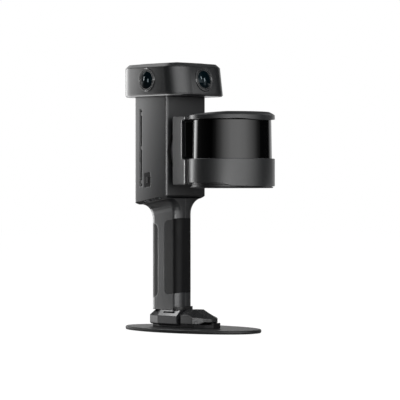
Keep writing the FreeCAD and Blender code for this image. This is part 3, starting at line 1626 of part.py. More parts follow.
def make_lidar_window():
    top_r = window_radius - window_taper
    wall = window_wall
    return drum_solid([(window_radius, window_foot), (top_r, window_top - 1.0),
                       (top_r - 1.0, window_top), (0, window_top), (0, window_top - wall),
                       (top_r - wall, window_top - wall), (window_radius - wall, window_foot)])


def make_turret_bearings():
    bearings = []
    for z in (lidar_base_bottom + base_floor + 0.6, post_top - turret_bearing_height - 0.5):
        inner_edge = spindle_radius + running_fit
        bearings.append(ring(turret_bearing_radius, 9.2, turret_bearing_height, drum_axis(z)))
        bearings.append(ring(7.0, inner_edge, turret_bearing_height, drum_axis(z)))
        for index in range(8):
            angle = math.radians(45 * index)
            centre = Vec(drum_x + 8.1 * math.cos(angle), 8.1 * math.sin(angle),
                         z + turret_bearing_height / 2)
            bearings.append(Part.makeSphere(1.08, centre))
    return bearings


magnet_inner = 22.6
magnet_outer = 26.0
turret_motor_low = 193.0
turret_motor_high = 205.0


def make_turret_stator():
    core = ring(magnet_inner - 0.7, post_radius, turret_motor_high - turret_motor_low,
                drum_axis(turret_motor_low))
    slots = []
    for index in range(9):
        slot = box(post_radius + 1.6, magnet_inner - 2.0, -1.2, 1.2, turret_motor_low - 1,
                   turret_motor_high + 1)
        slot.rotate(Vec(0, 0, 0), Z_AXIS, 40 * index)
        slot.translate(Vec(drum_x, 0, 0))
        slots.append(slot)
    return core.cut(slots)


def make_turret_magnets():
    return ring(magnet_outer, magnet_inner, turret_motor_high - turret_motor_low,
                drum_axis(turret_motor_low))


def make_turret_rotor():
    skirt = turret_bottom - 4
    body = drum_solid([(0, turret_bottom), (magnet_inner, turret_bottom),
                       (magnet_inner, turret_motor_high), (magnet_outer, turret_motor_high),
                       (magnet_outer, skirt), (turret_radius, skirt),
                       (turret_radius, turret_top), (0, turret_top)])
    ports = [rod(turret_lens_radius, 30, Vec(drum_x + 24.0, y, turret_lens_z), X_AXIS)
             for y in turret_lens_rows()]
    hollow = rod(turret_radius - 5, 12, drum_axis(turret_top - 12))
    z = lidar_base_bottom + base_floor + 0.6
    shaft = rod(spindle_radius, turret_bottom - z, drum_axis(z))
    return joined([body, shaft]).cut(ports + [hollow])


turret_lens_radius = 10.5
turret_lens_z = 236.0


def turret_lens_rows():
    return [-13.5, 13.5]


def make_turret_optics():
    pieces = []
    for y in turret_lens_rows():
        ball = Part.makeSphere(22.0, Vec(drum_x + 24.0 + 6.0 - 22.0, y, turret_lens_z))
        body = rod(turret_lens_radius, 8, Vec(drum_x + 24.0, y, turret_lens_z), X_AXIS)
        pieces.append(body.common(ball))
    return pieces


def stand_nodes():
    return {
        "base_plate": make_base_plate(), "base_pad": make_base_pad(),
        "tripod_bush": make_tripod_bush(), "receiver_base": make_receiver_base(),
        "receiver_screws": make_receiver_screws(),
        "stand_pins": make_locating_pins() + [make_lever_pin()],
        "release_lever": make_release_lever(), "clamp_jaw": make_clamp_jaw(),
    }


def handle_nodes():
    pads = make_grip_pads()
    near, far = make_handle_shells(pads)
    return {
        "foot_block": make_foot_block(), "foot_collar": make_foot_collar(),
        "handle_shell_near": near, "handle_shell_far": far,
        "grip_pad_front": pads[0], "grip_pad_rear": pads[1],
        "battery_tray": make_battery_tray(), "battery_cells": make_battery_cells(),
    }


def body_nodes():
    boards = [make_power_board(), make_head_board(), make_battery_board(), make_button_board(),
              make_port_board()]
    screws = make_foot_screws() + make_handle_screws() + make_cover_screws() + \
        make_board_screws() + make_housing_screws() + make_head_screws()
    return {
        "body_shell": make_body_shell(), "rear_cover": make_rear_cover(),
        "vent_grilles": make_vent_grilles(), "port_plate": make_port_plate(),
        "port_sockets": make_port_sockets(), "status_light": make_status_light(),
        "button_panel": make_button_panel(), "power_button": make_power_button(),
        "chassis_plate": make_chassis_plate(), "main_board": make_main_board(),
        "auxiliary_boards": boards, "scanner_screws": screws,
        "heat_sink": make_heat_sink(), "fan_frame": make_fan_frame(), "fan_rotor": make_fan_rotor(),
    }


def drive_nodes():
    return {
        "bearing_housing": make_bearing_housing(),
        "spin_bearings": make_bearing(front_bearing_x) + make_bearing(rear_bearing_x),
        "drive_cup": make_drive_cup(), "shaft_seal": make_shaft_seal(),
        "motor_stator": [make_motor_stator(), make_encoder_board()],
        "motor_rotor": [make_motor_rotor(), make_encoder_disc()],
        "slip_ring_body": make_slip_ring_body(), "slip_ring_rotor": make_slip_ring_rotor(),
        "hub_shaft": make_hub_shaft(),
    }


def head_nodes():
    return {
        "head_floor": make_head_floor(), "head_shell": make_head_shell(),
        "head_top_cover": make_head_top_cover(), "antenna_module": make_antenna_module(),
        "camera_bezels": make_camera_bezels(), "camera_lenses": make_camera_lenses(),
        "camera_barrels": make_camera_barrels(),
    }


def lidar_nodes():
    return {
        "bracket_slab": make_bracket_slab(), "pocket_cover": make_pocket_cover(),
        "ring_neck": make_ring_neck(), "guard_ring": make_guard_ring(),
        "guard_top": make_guard_top(), "guard_bottom": make_guard_bottom(),
        "unit_screws": make_hub_screws() + make_unit_screws(),
        "lidar_base": make_lidar_base(), "lidar_window": make_lidar_window(),
        "interface_board": make_interface_board(),
        "turret_drive": make_turret_bearings() + [make_turret_stator()],
        "turret_rotor": [make_turret_rotor(), make_turret_magnets()],
        "turret_optics": make_turret_optics(),
    }


def build():
    os.makedirs("parts", exist_ok=True)
    groups = [stand_nodes(), handle_nodes(), body_nodes(), drive_nodes(), head_nodes(), lidar_nodes()]
    for group in groups:
        for name, shape in group.items():
            save(name, shape)
    print(sum(len(group) for group in groups), "nodes")


build()
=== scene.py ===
import math
import bpy
import bmesh
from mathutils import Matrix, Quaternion, Vector


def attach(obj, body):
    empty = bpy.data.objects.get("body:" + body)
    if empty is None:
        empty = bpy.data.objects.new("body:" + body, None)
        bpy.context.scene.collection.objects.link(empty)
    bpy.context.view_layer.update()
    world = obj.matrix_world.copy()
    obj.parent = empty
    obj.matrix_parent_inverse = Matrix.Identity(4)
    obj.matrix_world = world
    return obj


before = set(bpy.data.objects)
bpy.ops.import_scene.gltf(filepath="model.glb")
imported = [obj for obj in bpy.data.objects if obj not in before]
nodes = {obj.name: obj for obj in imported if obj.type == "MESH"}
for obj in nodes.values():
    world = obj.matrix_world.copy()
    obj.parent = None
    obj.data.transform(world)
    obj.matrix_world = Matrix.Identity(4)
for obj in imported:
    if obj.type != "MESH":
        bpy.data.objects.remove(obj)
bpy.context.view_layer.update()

# View of the photograph, in metres and in the same frame as the CAD
VIEW_ANGLE = math.radians(46.0)
VIEW_AIM = Vector((0.02495, 0.0258, 0.165))
VIEW_DISTANCE = 3.05
LENS_MM = 216.0
SENSOR_MM = 36.0
UP = Vector((0.0, 0.0, 1.0))
TO_CAMERA = Vector((math.sin(VIEW_ANGLE), -math.cos(VIEW_ANGLE), 0.0))
TO_THE_RIGHT = Vector((math.cos(VIEW_ANGLE), math.sin(VIEW_ANGLE), 0.0))

# Base colours that several pieces share
GRAPHITE = (0.019, 0.020, 0.0215)
SATIN_BLACK = (0.017, 0.018, 0.019)
STAND_BLACK = (0.014, 0.0145, 0.015)
PLASTIC_BLACK = (0.010, 0.010, 0.011)
DEEP_BLACK = (0.006, 0.006, 0.0065)

EDGE_SAMPLES = 8

# Tool marks, as noise scale along each axis
TURNED = (40.0, 900.0, 900.0)
WOUND = (60.0, 700.0, 700.0)
DRAWN = (900.0, 900.0, 40.0)

# Trim rings that hold the camera glass in its bezels: section, and where each ring sits
RING_RADIUS = 0.01165
RING_LIFT = 0.0005
RING_WIDTH = 0.0013
RING_THICKNESS = 0.0007
RING_SECTION_POINTS = 16
RING_SEGMENTS = 96
GLASS_HEIGHT = 0.3159
FRONT_LEAN = math.atan2(6.4, 42.5)
GLASS_FACES = [((0.0015, -0.0447), Vector((0.0, -1.0, 0.0))),
               ((0.05913, 0.0), Vector((math.cos(FRONT_LEAN), 0.0, math.sin(FRONT_LEAN)))),
               ((0.0015, 0.0447), Vector((0.0, 1.0, 0.0)))]

# White floor just under the part. The fade is where it turns white to gloss, behind the part.
FLOOR_RADIUS = 9.0
FLOOR_DROP = 0.0003
FLOOR_GREY = (0.16, 0.16, 0.16, 1.0)
FLOOR_GLOW = 0.93
FLOOR_FADE = (0.5, 2.0)

# Reach towards the camera at which a mirrored ray sees the white backdrop in full, and no more
BACKDROP_FADE = (-0.995, -0.98)

# Brightness of the studio that gloss reflects, by angle to the right of the way to the camera:
# white backdrop behind, rim lights on both sides of it, and a large soft box in front.
STUDIO = [(-180, 0.2), (-160, 0.05), (-144, 0.05), (-138, 0.65), (-129, 0.65), (-118, 0.05), (-62, 0.0),
          (-56, 0.06), (-50, 0.12), (-36, 0.75), (-23, 1.8), (-3, 2.95), (19, 3.1), (37, 2.7), (57, 1.55),
          (78, 0.30), (88, 0.02), (132, 0.01), (142, 0.5), (151, 0.9), (160, 0.6), (168, 0.3), (180, 0.2)]
STUDIO_PEAK = 3.1

# Share of that brightness by height, from straight down at 0 to straight up at 1
STUDIO_HEIGHTS = [(0.0, 0.3), (0.2, 0.3), (0.38, 0.8), (0.45, 1.0), (0.55, 1.0), (0.63, 0.7), (0.75, 0.15),
                  (1.0, 0.3)]
AMBIENT = 0.45

# Points that lamps face
MIDDLE = (0.03, 0.0, 0.2)
DRUM = (0.1, 0.0, 0.2)
HEAD = (0.0035, 0.0, 0.316)

# Strips close to the near side: their stepped right edges fade its gloss towards the front
STRIP_ANGLE = -92.0
ALONG_STRIPS = Vector((0.695, -0.719, 0.0))
LEFT_ROLL = -7.4
LEFT_END = -0.067
LOW_END = -0.25
LEFT_EDGES = ((-0.024, 0.9), (0.006, 1.35), (0.018, 0.9), (0.033, 0.65))
LOW_EDGES = ((-0.06, 3.2), (-0.02, 1.6), (0.015, 0.7))

# Pieces that some lamps light alone or leave out
LENSES = ["camera_lenses"]
UNIT = ["guard_ring", "ring_neck", "lidar_window", "lidar_base", "guard_bottom", "guard_top"]
HANDLE = ["handle_shell_near", "handle_shell_far"]
PADS = ["grip_pad_front", "grip_pad_rear"]


# Node helpers
def blank_tree(block, output):
    """Node tree of a material or world, emptied down to its output node."""
    block.use_nodes = True
    tree = block.node_tree
    tree.nodes.clear()
    return tree, tree.nodes.new(output)


def new_material(name):
    material = bpy.data.materials.new(name)
    tree, out = blank_tree(material, "ShaderNodeOutputMaterial")
    shader = tree.nodes.new("ShaderNodeBsdfPrincipled")
    tree.links.new(shader.outputs["BSDF"], out.inputs["Surface"])
    return material, tree, shader


def set_input(node, **values):
    for key, value in values.items():
        node.inputs[key.replace("_", " ")].default_value = value


def coords(tree):
    return tree.nodes.new("ShaderNodeTexCoord").outputs["Object"]


def stretched(tree, scale):
    """Object coordinates multiplied by a vector, for grain that runs one way."""
    mapping = tree.nodes.new("ShaderNodeMapping")
    mapping.inputs["Scale"].default_value = scale
    tree.links.new(coords(tree), mapping.inputs["Vector"])
    return mapping.outputs["Vector"]


def noise(tree, vector, scale, detail, roughness):
    node = tree.nodes.new("ShaderNodeTexNoise")
    set_input(node, Scale=scale, Detail=detail, Roughness=roughness)
    tree.links.new(vector, node.inputs["Vector"])
    return node.outputs["Fac"]


def spread(tree, value, low, high, from_low=0.3, from_high=0.7):
    """A value moved from one range to another and kept inside it."""
    node = tree.nodes.new("ShaderNodeMapRange")
    set_input(node, From_Min=from_low, From_Max=from_high, To_Min=low, To_Max=high)
    tree.links.new(value, node.inputs["Value"])
    return node.outputs["Result"]


def ramp(tree, value, stops):
    node = tree.nodes.new("ShaderNodeValToRGB")
    elements = node.color_ramp.elements
    while len(elements) < len(stops):
        elements.new(0.5)
    for element, (place, colour) in zip(elements, stops):
        element.position = place
        element.color = (*colour, 1.0)
    tree.links.new(value, node.inputs["Fac"])
    return node.outputs["Color"]


def grey(value):
    return (value, value, value)


def shade(colour, factor):
    return tuple(min(1.0, channel * factor) for channel in colour)


def tinted(tree, shader, value, colour, dark, light, start=0.3):
    """Base colour that drifts between a darker and a lighter shade with a value around 0.5."""
    stops = [(start, shade(colour, dark)), (1.0 - start, shade(colour, light))]
    tree.links.new(ramp(tree, value, stops), shader.inputs["Base Color"])


def bump(tree, shader, height, distance, strength, edge):
    """Surface relief from a height, on a normal that rounds sharp edges by a small radius."""
    node = tree.nodes.new("ShaderNodeBump")
    set_input(node, Strength=strength, Distance=distance)
    tree.links.new(height, node.inputs["Height"])
    if edge > 0:
        rounding = tree.nodes.new("ShaderNodeBevel")
        rounding.samples = EDGE_SAMPLES
        rounding.inputs["Radius"].default_value = edge
        tree.links.new(rounding.outputs["Normal"], node.inputs["Normal"])
    tree.links.new(node.outputs["Normal"], shader.inputs["Normal"])


# Materials
def coated(name, colour, rough=0.42, specular=0.8, grain=2600.0, edge=0.0011):
    """Satin powder or anodised coating: fine grain, soft blotches, small wear in the gloss."""
    material, tree, shader = new_material(name)
    where = coords(tree)
    fine = noise(tree, where, grain, detail=3.0, roughness=0.6)
    broad = noise(tree, where, 38.0, detail=3.0, roughness=0.55)
    tinted(tree, shader, broad, colour, 0.93, 1.07, start=0.25)
    tree.links.new(spread(tree, fine, rough - 0.05, rough + 0.06), shader.inputs["Roughness"])
    set_input(shader, Metallic=0.0, Specular_IOR_Level=specular)
    bump(tree, shader, fine, distance=0.000008, strength=0.5, edge=edge)
    return material


def rubbery(name, colour, rough=0.62, specular=0.28):
    """Moulded rubber with a fine pebbled skin."""
    material, tree, shader = new_material(name)
    where = coords(tree)
    pebble = tree.nodes.new("ShaderNodeTexVoronoi")
    set_input(pebble, Scale=1400.0, Randomness=0.85)
    tree.links.new(where, pebble.inputs["Vector"])
    broad = noise(tree, where, 55.0, detail=3.0, roughness=0.6)
    tinted(tree, shader, broad, colour, 0.85, 1.18, start=0.2)
    tree.links.new(spread(tree, broad, rough - 0.05, rough + 0.07), shader.inputs["Roughness"])
    set_input(shader, Specular_IOR_Level=specular)
    bump(tree, shader, pebble.outputs["Distance"], distance=0.00006, strength=0.45, edge=0.0006)
    return material


def glossy(name, colour, rough=0.08, specular=0.5, haze=0.04):
    """Polished plastic or glass with a faint cloudiness in its gloss."""
    material, tree, shader = new_material(name)
    where = coords(tree)
    cloud = noise(tree, where, 24.0, detail=4.0, roughness=0.6)
    dust = noise(tree, where, 900.0, detail=2.0, roughness=0.5)
    tinted(tree, shader, cloud, colour, 0.9, 1.1)
    tree.links.new(spread(tree, dust, rough, rough + haze), shader.inputs["Roughness"])
    set_input(shader, Specular_IOR_Level=specular)
    bump(tree, shader, cloud, distance=0.00002, strength=0.2, edge=0.0003)
    return material


def machined(name, colour, rough=0.3, scale=DRAWN):
    """Bare or tinted metal with fine tool marks running one way."""
    material, tree, shader = new_material(name)
    marks = noise(tree, stretched(tree, scale), 1.0, detail=3.0, roughness=0.6)
    stain = noise(tree, coords(tree), 60.0, detail=3.0, roughness=0.6)
    tinted(tree, shader, stain, colour, 0.88, 1.08)
    tree.links.new(spread(tree, marks, rough - 0.08, rough + 0.12), shader.inputs["Roughness"])
    set_input(shader, Metallic=1.0)
    bump(tree, shader, marks, distance=0.00003, strength=0.35, edge=0.0003)
    return material


def board(name):
    """Circuit board: solder mask with a grid of tracks and pads."""
    material, tree, shader = new_material(name)
    brick = tree.nodes.new("ShaderNodeTexBrick")
    set_input(brick, Scale=260.0, Mortar_Size=0.03, Color1=(0.008, 0.05, 0.03, 1),
              Color2=(0.01, 0.065, 0.035, 1), Mortar=(0.06, 0.09, 0.04, 1))
    tree.links.new(coords(tree), brick.inputs["Vector"])
    tree.links.new(brick.outputs["Color"], shader.inputs["Base Color"])
    tracks = brick.outputs["Fac"]
    tree.links.new(spread(tree, tracks, 0.35, 0.5, 0.0, 1.0), shader.inputs["Roughness"])
    bump(tree, shader, tracks, distance=0.00005, strength=0.4, edge=0.0)
    return material


def assign(material, *names):
    for name in names:
        for slot in nodes[name].material_slots:
            slot.material = material


def dress_housings():
    assign(coated("graphite_coat", GRAPHITE, 0.33), "body_shell", "rear_cover", *HANDLE)
    assign(coated("head_coat", SATIN_BLACK, 0.27), "head_shell")
    assign(coated("head_floor_coat", SATIN_BLACK, 0.27, edge=0.0003), "head_floor")
    assign(coated("head_lid_coat", SATIN_BLACK, 0.27), "head_top_cover")
    assign(coated("unit_coat", SATIN_BLACK, 0.34, specular=1.0), "ring_neck", "guard_ring")
    assign(coated("slab_coat", SATIN_BLACK, 0.34, specular=1.0, edge=0.0024), "bracket_slab")
    assign(coated("lid_coat", (0.018, 0.019, 0.020), 0.32), "guard_top")
    assign(coated("under_coat", PLASTIC_BLACK, 0.40), "guard_bottom", "lidar_base")
    assign(coated("stand_coat", STAND_BLACK, 0.45, specular=0.65), "base_plate")
    assign(coated("receiver_coat", DEEP_BLACK, 0.4, specular=0.35), "receiver_base")
    assign(coated("foot_coat", (0.018, 0.0185, 0.0195), 0.26), "foot_block", "release_lever")
    assign(coated("jaw_coat", STAND_BLACK, 0.30), "clamp_jaw")
    assign(coated("collar_coat", DEEP_BLACK, 0.4), "foot_collar")


def dress_details():
    assign(rubbery("grip_rubber", (0.0055, 0.0055, 0.006), 0.46, specular=0.25), *PADS)
    assign(rubbery("pad_rubber", (0.010, 0.010, 0.010)), "base_pad", "shaft_seal")
    assign(glossy("window_black", (0.0006, 0.0006, 0.0007), 0.08, haze=0.03), "lidar_window")
    assign(coated("panel_black", DEEP_BLACK, 0.30, specular=0.2), "button_panel")
    assign(coated("button_coat", STAND_BLACK, 0.34, specular=0.3), "power_button")
    assign(coated("vent_black", (0.004, 0.004, 0.004), 0.7, specular=0.2), "vent_grilles",
           "pocket_cover")
    assign(coated("port_black", (0.012, 0.012, 0.013), 0.45), "port_plate")
    assign(machined("socket_metal", (0.55, 0.56, 0.58), 0.25), "port_sockets")
    assign(glossy("light_pipe", (0.55, 0.62, 0.60), 0.12), "status_light")


def dress_inside():
    assign(machined("hub_metal", (0.20, 0.20, 0.21), 0.32, TURNED), "hub_shaft")
    assign(machined("pin_steel", (0.50, 0.50, 0.52), 0.28), "stand_pins")
    assign(machined("screw_steel", (0.12, 0.12, 0.125), 0.34), "receiver_screws", "scanner_screws",
           "unit_screws")
    assign(machined("bush_brass", (0.70, 0.52, 0.25), 0.3), "tripod_bush")
    assign(machined("drive_metal", (0.45, 0.46, 0.48), 0.35, TURNED), "bearing_housing", "drive_cup",
           "motor_rotor", "spin_bearings", "turret_drive", "chassis_plate", "heat_sink")
    assign(machined("winding_copper", (0.55, 0.25, 0.10), 0.4, WOUND), "motor_stator")
    assign(coated("moulded_black", PLASTIC_BLACK, 0.55), "battery_tray", "fan_frame", "fan_rotor",
           "slip_ring_body", "slip_ring_rotor", "camera_barrels", "turret_rotor")
    assign(glossy("cell_sleeve", (0.03, 0.10, 0.25), 0.3), "battery_cells")
    assign(glossy("turret_lens", (0.03, 0.006, 0.02), 0.05), "turret_optics")
    assign(board("board_mask"), "main_board", "auxiliary_boards", "interface_board")
    assign(coated("antenna_ceramic", (0.45, 0.42, 0.34), 0.6), "antenna_module")


def dress_glass():
    glass = glossy("lens_glass", (0.0012, 0.0045, 0.0065), 0.05, specular=0.2, haze=0.02)
    set_input(glass.node_tree.nodes["Principled BSDF"], Specular_Tint=(0.75, 0.92, 1.0, 1.0))
    assign(glass, *LENSES)


# Objects of the scene alone
def add_object(name, data):
    thing = bpy.data.objects.new(name, data)
    bpy.context.scene.collection.objects.link(thing)
    return thing


def add_mesh(name, form, material):
    """Object from a bmesh, which is freed."""
    mesh = bpy.data.meshes.new(name)
    form.to_mesh(mesh)
    form.free()
    mesh.materials.append(material)
    return add_object(name, mesh)


def ring_section():
    """Oval section of a trim ring, as reach from the lens axis and lift over the face."""
    turns = [math.tau * step / RING_SECTION_POINTS for step in range(RING_SECTION_POINTS)]
    return [(RING_RADIUS + RING_WIDTH / 2 * math.cos(turn),
             RING_LIFT + RING_THICKNESS / 2 * math.sin(turn)) for turn in turns]


def add_ring(form, centre, out):
    """Trim ring round an axis through its centre."""
    side = out.orthogonal().normalized()
    other = out.cross(side)
    section = ring_section()
    loops = []
    for step in range(RING_SEGMENTS):
        turn = math.tau * step / RING_SEGMENTS
        spoke = side * math.cos(turn) + other * math.sin(turn)
        loops.append([form.verts.new(centre + spoke * reach + out * lift) for reach, lift in section])
    for first, second in zip(loops, loops[1:] + loops[:1]):
        for k in range(len(section)):
            face = form.faces.new((first[k], second[k], second[k - 1], first[k - 1]))
            face.smooth = True


def add_lens_rings(material):
    form = bmesh.new()
    for (x, y), out in GLASS_FACES:
        add_ring(form, Vector((x, y, GLASS_HEIGHT)), out)
    bmesh.ops.recalc_face_normals(form, faces=form.faces)
    rings = add_mesh("lens_rings", form, material)
    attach(rings, "scanner")


def add_camera():
    data = bpy.data.cameras.new("camera")
    data.lens = LENS_MM
    data.sensor_width = SENSOR_MM
    data.sensor_fit = "HORIZONTAL"
    data.clip_end = 20.0
    camera = add_object("camera", data)
    camera.location = VIEW_AIM + TO_CAMERA * VIEW_DISTANCE
    camera.rotation_euler = (math.radians(90.0), 0.0, VIEW_ANGLE)
    bpy.context.scene.camera = camera


# Floor and background
def combine(tree, operation, first, second):
    """Result of a calculation on two node outputs."""
    node = tree.nodes.new("ShaderNodeMath")
    node.operation = operation
    tree.links.new(first, node.inputs[0])
    tree.links.new(second, node.inputs[1])
    return node.outputs["Value"]


def along(tree, vector, axis):
    """How far a vector reaches along a fixed axis."""
    node = tree.nodes.new("ShaderNodeVectorMath")
    node.operation = "DOT_PRODUCT"
    tree.links.new(vector, node.inputs[0])
    node.inputs[1].default_value = axis
    return node.outputs["Value"]


def backdrop_rays(tree, behind):
    """1 for camera and transmission rays, and for glossy rays that reach the white backdrop."""
    path = tree.nodes.new("ShaderNodeLightPath")
    mirrored = combine(tree, "MULTIPLY", path.outputs["Is Glossy Ray"], behind)
    seen = combine(tree, "MAXIMUM", path.outputs["Is Camera Ray"], path.outputs["Is Transmission Ray"])
    return combine(tree, "MAXIMUM", seen, mirrored)


def emitter(tree, kind, strength):
    node = tree.nodes.new(kind)
    set_input(node, Color=(1.0, 1.0, 1.0, 1.0), Strength=strength)
    return node.outputs[0]


def mixed(tree, factor, first, second):
    node = tree.nodes.new("ShaderNodeMixShader")
    tree.links.new(factor, node.inputs["Fac"])
    tree.links.new(first, node.inputs[1])
    tree.links.new(second, node.inputs[2])
    return node.outputs["Shader"]


def floor_material():
    """Dull floor, white to the camera and, further behind the part, to what gloss reflects."""
    material = bpy.data.materials.new("floor_white")
    tree, out = blank_tree(material, "ShaderNodeOutputMaterial")
    behind = spread(tree, along(tree, coords(tree), -TO_CAMERA), 0.0, 1.0, *FLOOR_FADE)
    dull = tree.nodes.new("ShaderNodeBsdfDiffuse")
    dull.inputs["Color"].default_value = FLOOR_GREY
    both = tree.nodes.new("ShaderNodeAddShader")
    tree.links.new(dull.outputs["BSDF"], both.inputs[0])
    tree.links.new(emitter(tree, "ShaderNodeEmission", FLOOR_GLOW), both.inputs[1])
    surface = mixed(tree, backdrop_rays(tree, behind), dull.outputs["BSDF"], both.outputs["Shader"])
    tree.links.new(surface, out.inputs["Surface"])
    return material


def add_floor():
    form = bmesh.new()
    bmesh.ops.create_circle(form, cap_ends=True, radius=FLOOR_RADIUS, segments=96)
    floor = add_mesh("floor", form, floor_material())
    floor.location = (0.0, 0.0, -FLOOR_DROP)


def product(tree, first, second):
    """Two colours multiplied."""
    node = tree.nodes.new("ShaderNodeMix")
    node.data_type = "RGBA"
    node.blend_type = "MULTIPLY"
    node.inputs["Factor"].default_value = 1.0
    colour_inputs = [socket for socket in node.inputs if socket.type == "RGBA"]
    colour_outputs = [socket for socket in node.outputs if socket.type == "RGBA"]
    tree.links.new(first, colour_inputs[0])
    tree.links.new(second, colour_inputs[1])
    return colour_outputs[0]


def studio_light(tree, way, forward):
    """Background that gloss reflects, by the table of angles and the table of heights."""
    right = along(tree, way, TO_THE_RIGHT)
    angle = spread(tree, combine(tree, "ARCTAN2", right, forward), 0.0, 1.0, -math.pi, math.pi)
    turns = [((degrees + 180) / 360, grey(value / STUDIO_PEAK)) for degrees, value in STUDIO]
    boxes = ramp(tree, angle, turns)
    height = spread(tree, along(tree, way, UP), 0.0, 1.0, -1.0, 1.0)
    band = ramp(tree, height, [(place, grey(share)) for place, share in STUDIO_HEIGHTS])
    studio = tree.nodes.new("ShaderNodeBackground")
    studio.inputs["Strength"].default_value = STUDIO_PEAK
    tree.links.new(product(tree, boxes, band), studio.inputs["Color"])
    return studio.outputs["Background"]


def add_world():
    world = bpy.data.worlds.new("studio")
    bpy.context.scene.world = world
    tree, out = blank_tree(world, "ShaderNodeOutputWorld")
    way = tree.nodes.new("ShaderNodeTexCoord").outputs["Generated"]
    forward = along(tree, way, TO_CAMERA)
    path = tree.nodes.new("ShaderNodeLightPath")
    lit = mixed(tree, path.outputs["Is Glossy Ray"], emitter(tree, "ShaderNodeBackground", AMBIENT),
                studio_light(tree, way, forward))
    behind = spread(tree, forward, 1.0, 0.0, *BACKDROP_FADE)
    white = emitter(tree, "ShaderNodeBackground", 1.0)
    tree.links.new(mixed(tree, backdrop_rays(tree, behind), lit, white), out.inputs["Surface"])


# Lamps
def direction(angle, rise):
    """Unit vector at an angle to the right of the way to the camera, and a rise, in degrees."""
    turn = VIEW_ANGLE + math.radians(angle)
    up = math.radians(rise)
    return Vector((math.sin(turn) * math.cos(up), -math.cos(turn) * math.cos(up), math.sin(up)))


def group(name, members, state="INCLUDE"):
    """Light-linking group: the pieces that a lamp lights alone, or the ones that it leaves out."""
    pieces = bpy.data.collections.new(name)
    for member in members:
        pieces.objects.link(nodes[member] if member in nodes else bpy.data.objects[member])
    for entry in pieces.collection_objects:
        entry.light_linking.link_state = state
    return pieces


def add_lamp(name, angle, rise, distance, size, power, aim=MIDDLE, gloss=False, lit=None, roll=0.0):
    """Soft box that lights either the colours or only the gloss of what it faces.

    Angle, rise and roll are in degrees. Distance from the aim and size are in metres.
    """
    data = bpy.data.lights.new(name, "AREA")
    data.shape = "RECTANGLE"
    data.size, data.size_y = size
    data.energy = power
    lamp = add_object(name, data)
    target = Vector(aim)
    lamp.location = target + direction(angle, rise) * distance
    turn = (target - lamp.location).to_track_quat("-Z", "Y")
    lamp.rotation_euler = (turn @ Quaternion(UP, math.radians(roll))).to_euler()
    lamp.visible_camera = False
    lamp.visible_glossy = gloss
    lamp.visible_diffuse = not gloss
    lamp.light_linking.receiver_collection = lit


def gloss_box(name, angle, rise, distance, size, radiance, aim=MIDDLE, lit=None, roll=0.0):
    """Lamp of a given brightness that only gloss reflects."""
    power = radiance * size[0] * size[1] * math.pi
    add_lamp(name, angle, rise, distance, size, power, aim, gloss=True, lit=lit, roll=roll)


def side_strip(name, reach, rise, radiance, lit=None, angle=STRIP_ANGLE, distance=0.09, roll=0.0):
    """Box close to a side, from one reach to another along it and between two heights, in metres."""
    size = (reach[1] - reach[0], rise[1] - rise[0])
    centre = sum(reach) / 2 * ALONG_STRIPS + sum(rise) / 2 * UP
    gloss_box(name, angle, 0.0, distance, size, radiance, centre, lit, roll)


def light_colours():
    add_lamp("front_fill", 25.0, 20.0, 1.6, (1.2, 1.2), 14.0)
    add_lamp("top_fill", 10.0, 78.0, 1.6, (1.0, 1.0), 6.0)


def light_sides():
    upper = group("upper_side", LENSES + HANDLE + PADS, "EXCLUDE")
    lower = group("lower_side", HANDLE + PADS + ["foot_collar"])
    for edge, radiance in LEFT_EDGES:
        side_strip("left_box", (LEFT_END, edge), (0.13, 0.345), radiance, upper, roll=LEFT_ROLL)
    for edge, radiance in LOW_EDGES:
        side_strip("left_low_box", (LOW_END, edge), (-0.07, 0.17), radiance, lower, distance=0.22)
    for rise in ((0.278, 0.36), (0.14, 0.177)):
        side_strip("right_box", (0.04, 0.087), rise, 1.3, angle=88.0, distance=0.18)


def light_foot():
    foot = group("foot_side", ["foot_block"])
    side_strip("foot_box", (-0.11, 0.06), (-0.015, 0.024), 0.9)
    side_strip("foot_top_box", (-0.12, -0.03), (0.07, 0.20), 0.8, foot)
    gloss_box("rear_facet_box", -178.0, 0.0, 0.5, (0.3, 0.2), 0.6, (-0.03, -0.02, 0.01), foot)


def light_slab():
    slab = group("slab_side", ["bracket_slab"])
    side_strip("slab_box", (0.068, 0.11), (0.17, 0.285), 2.6, slab)
    gloss_box("slab_edge_box", -45.0, 0.0, 0.5, (0.16, 0.3), 25.0, (0.05, 0.0, 0.226), slab)


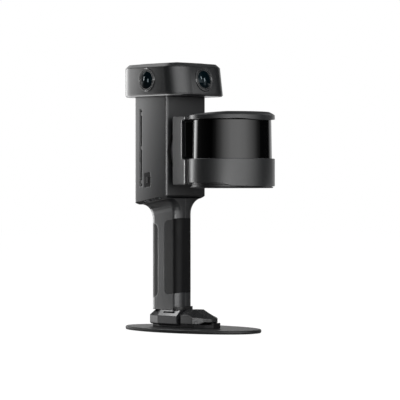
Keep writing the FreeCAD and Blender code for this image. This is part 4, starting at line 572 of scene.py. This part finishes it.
def light_facets():
    gloss_box("top_left_box", -136.0, 44.0, 0.8, (0.6, 0.5), 1.3)
    gloss_box("lever_box", -28.0, -20.0, 0.42, (0.12, 0.1), 9.0, DRUM, group("lever", ["release_lever"]))
    gloss_box("low_box", -14.0, -20.0, 0.42, (0.2, 0.1), 10.0, DRUM, group("unit", UNIT))


def light_corners():
    body = group("body_corner", ["body_shell"])
    gloss_box("body_corner_box", -35.0, 0.0, 1.0, (0.5, 0.25), 9.0, lit=body)
    handle = group("handle_corner", HANDLE)
    gloss_box("handle_corner_box", -38.0, 0.0, 1.0, (0.35, 0.5), 6.0, (0.0, 0.0, 0.1), handle)
    gloss_box("handle_low_box", -8.0, -22.0, 0.4, (0.35, 0.1), 3.0, lit=handle)


def light_head():
    corner = group("head_corner", ["head_shell"])
    gloss_box("head_low_box", -12.0, -10.0, 0.6, (0.12, 0.2), 2.5, HEAD, corner)
    rim = group("head_rim", ["head_floor"])
    gloss_box("head_under_box", 0.0, -90.0, 0.12, (0.25, 0.25), 1.2, (0.03, -0.02, 0.296), rim)


def light_plate():
    plate = group("plate", ["base_plate"])
    gloss_box("plate_box", -165.0, 4.0, 0.8, (0.8, 0.3), 1.2, (-0.03, 0.0, 0.0), plate)


def light_glass():
    """Small catch lights in the camera glass, and rim lights on its bezels and trim rings."""
    glass = group("lens", LENSES)
    for angle, rise in ((-100.0, 8.0), (-66.0, -1.0), (54.0, 22.0), (74.6, 12.0)):
        gloss_box("catch_box", angle, rise, 0.5, (0.045, 0.13), 16.0, HEAD, glass)
    rims = group("rims", ["camera_bezels", "lens_rings"])
    for angle, rise in ((-150.0, 0.0), (-125.0, -35.0), (-130.0, 40.0), (-25.0, 0.0), (140.0, 0.0)):
        gloss_box("rim_box", angle, rise, 1.0, (0.15, 0.25), 18.0, HEAD, rims)


dress_housings()
bezel_coat = coated("bezel_coat", (0.026, 0.027, 0.028), 0.2, specular=1.0, grain=1800.0, edge=0.0006)
assign(bezel_coat, "camera_bezels")
dress_details()
dress_inside()
dress_glass()
add_lens_rings(bezel_coat)

add_camera()
add_floor()
add_world()
light_colours()
light_sides()
light_foot()
light_slab()
light_facets()
light_corners()
light_head()
light_plate()
light_glass()

bpy.context.scene.view_settings.view_transform = "Standard"
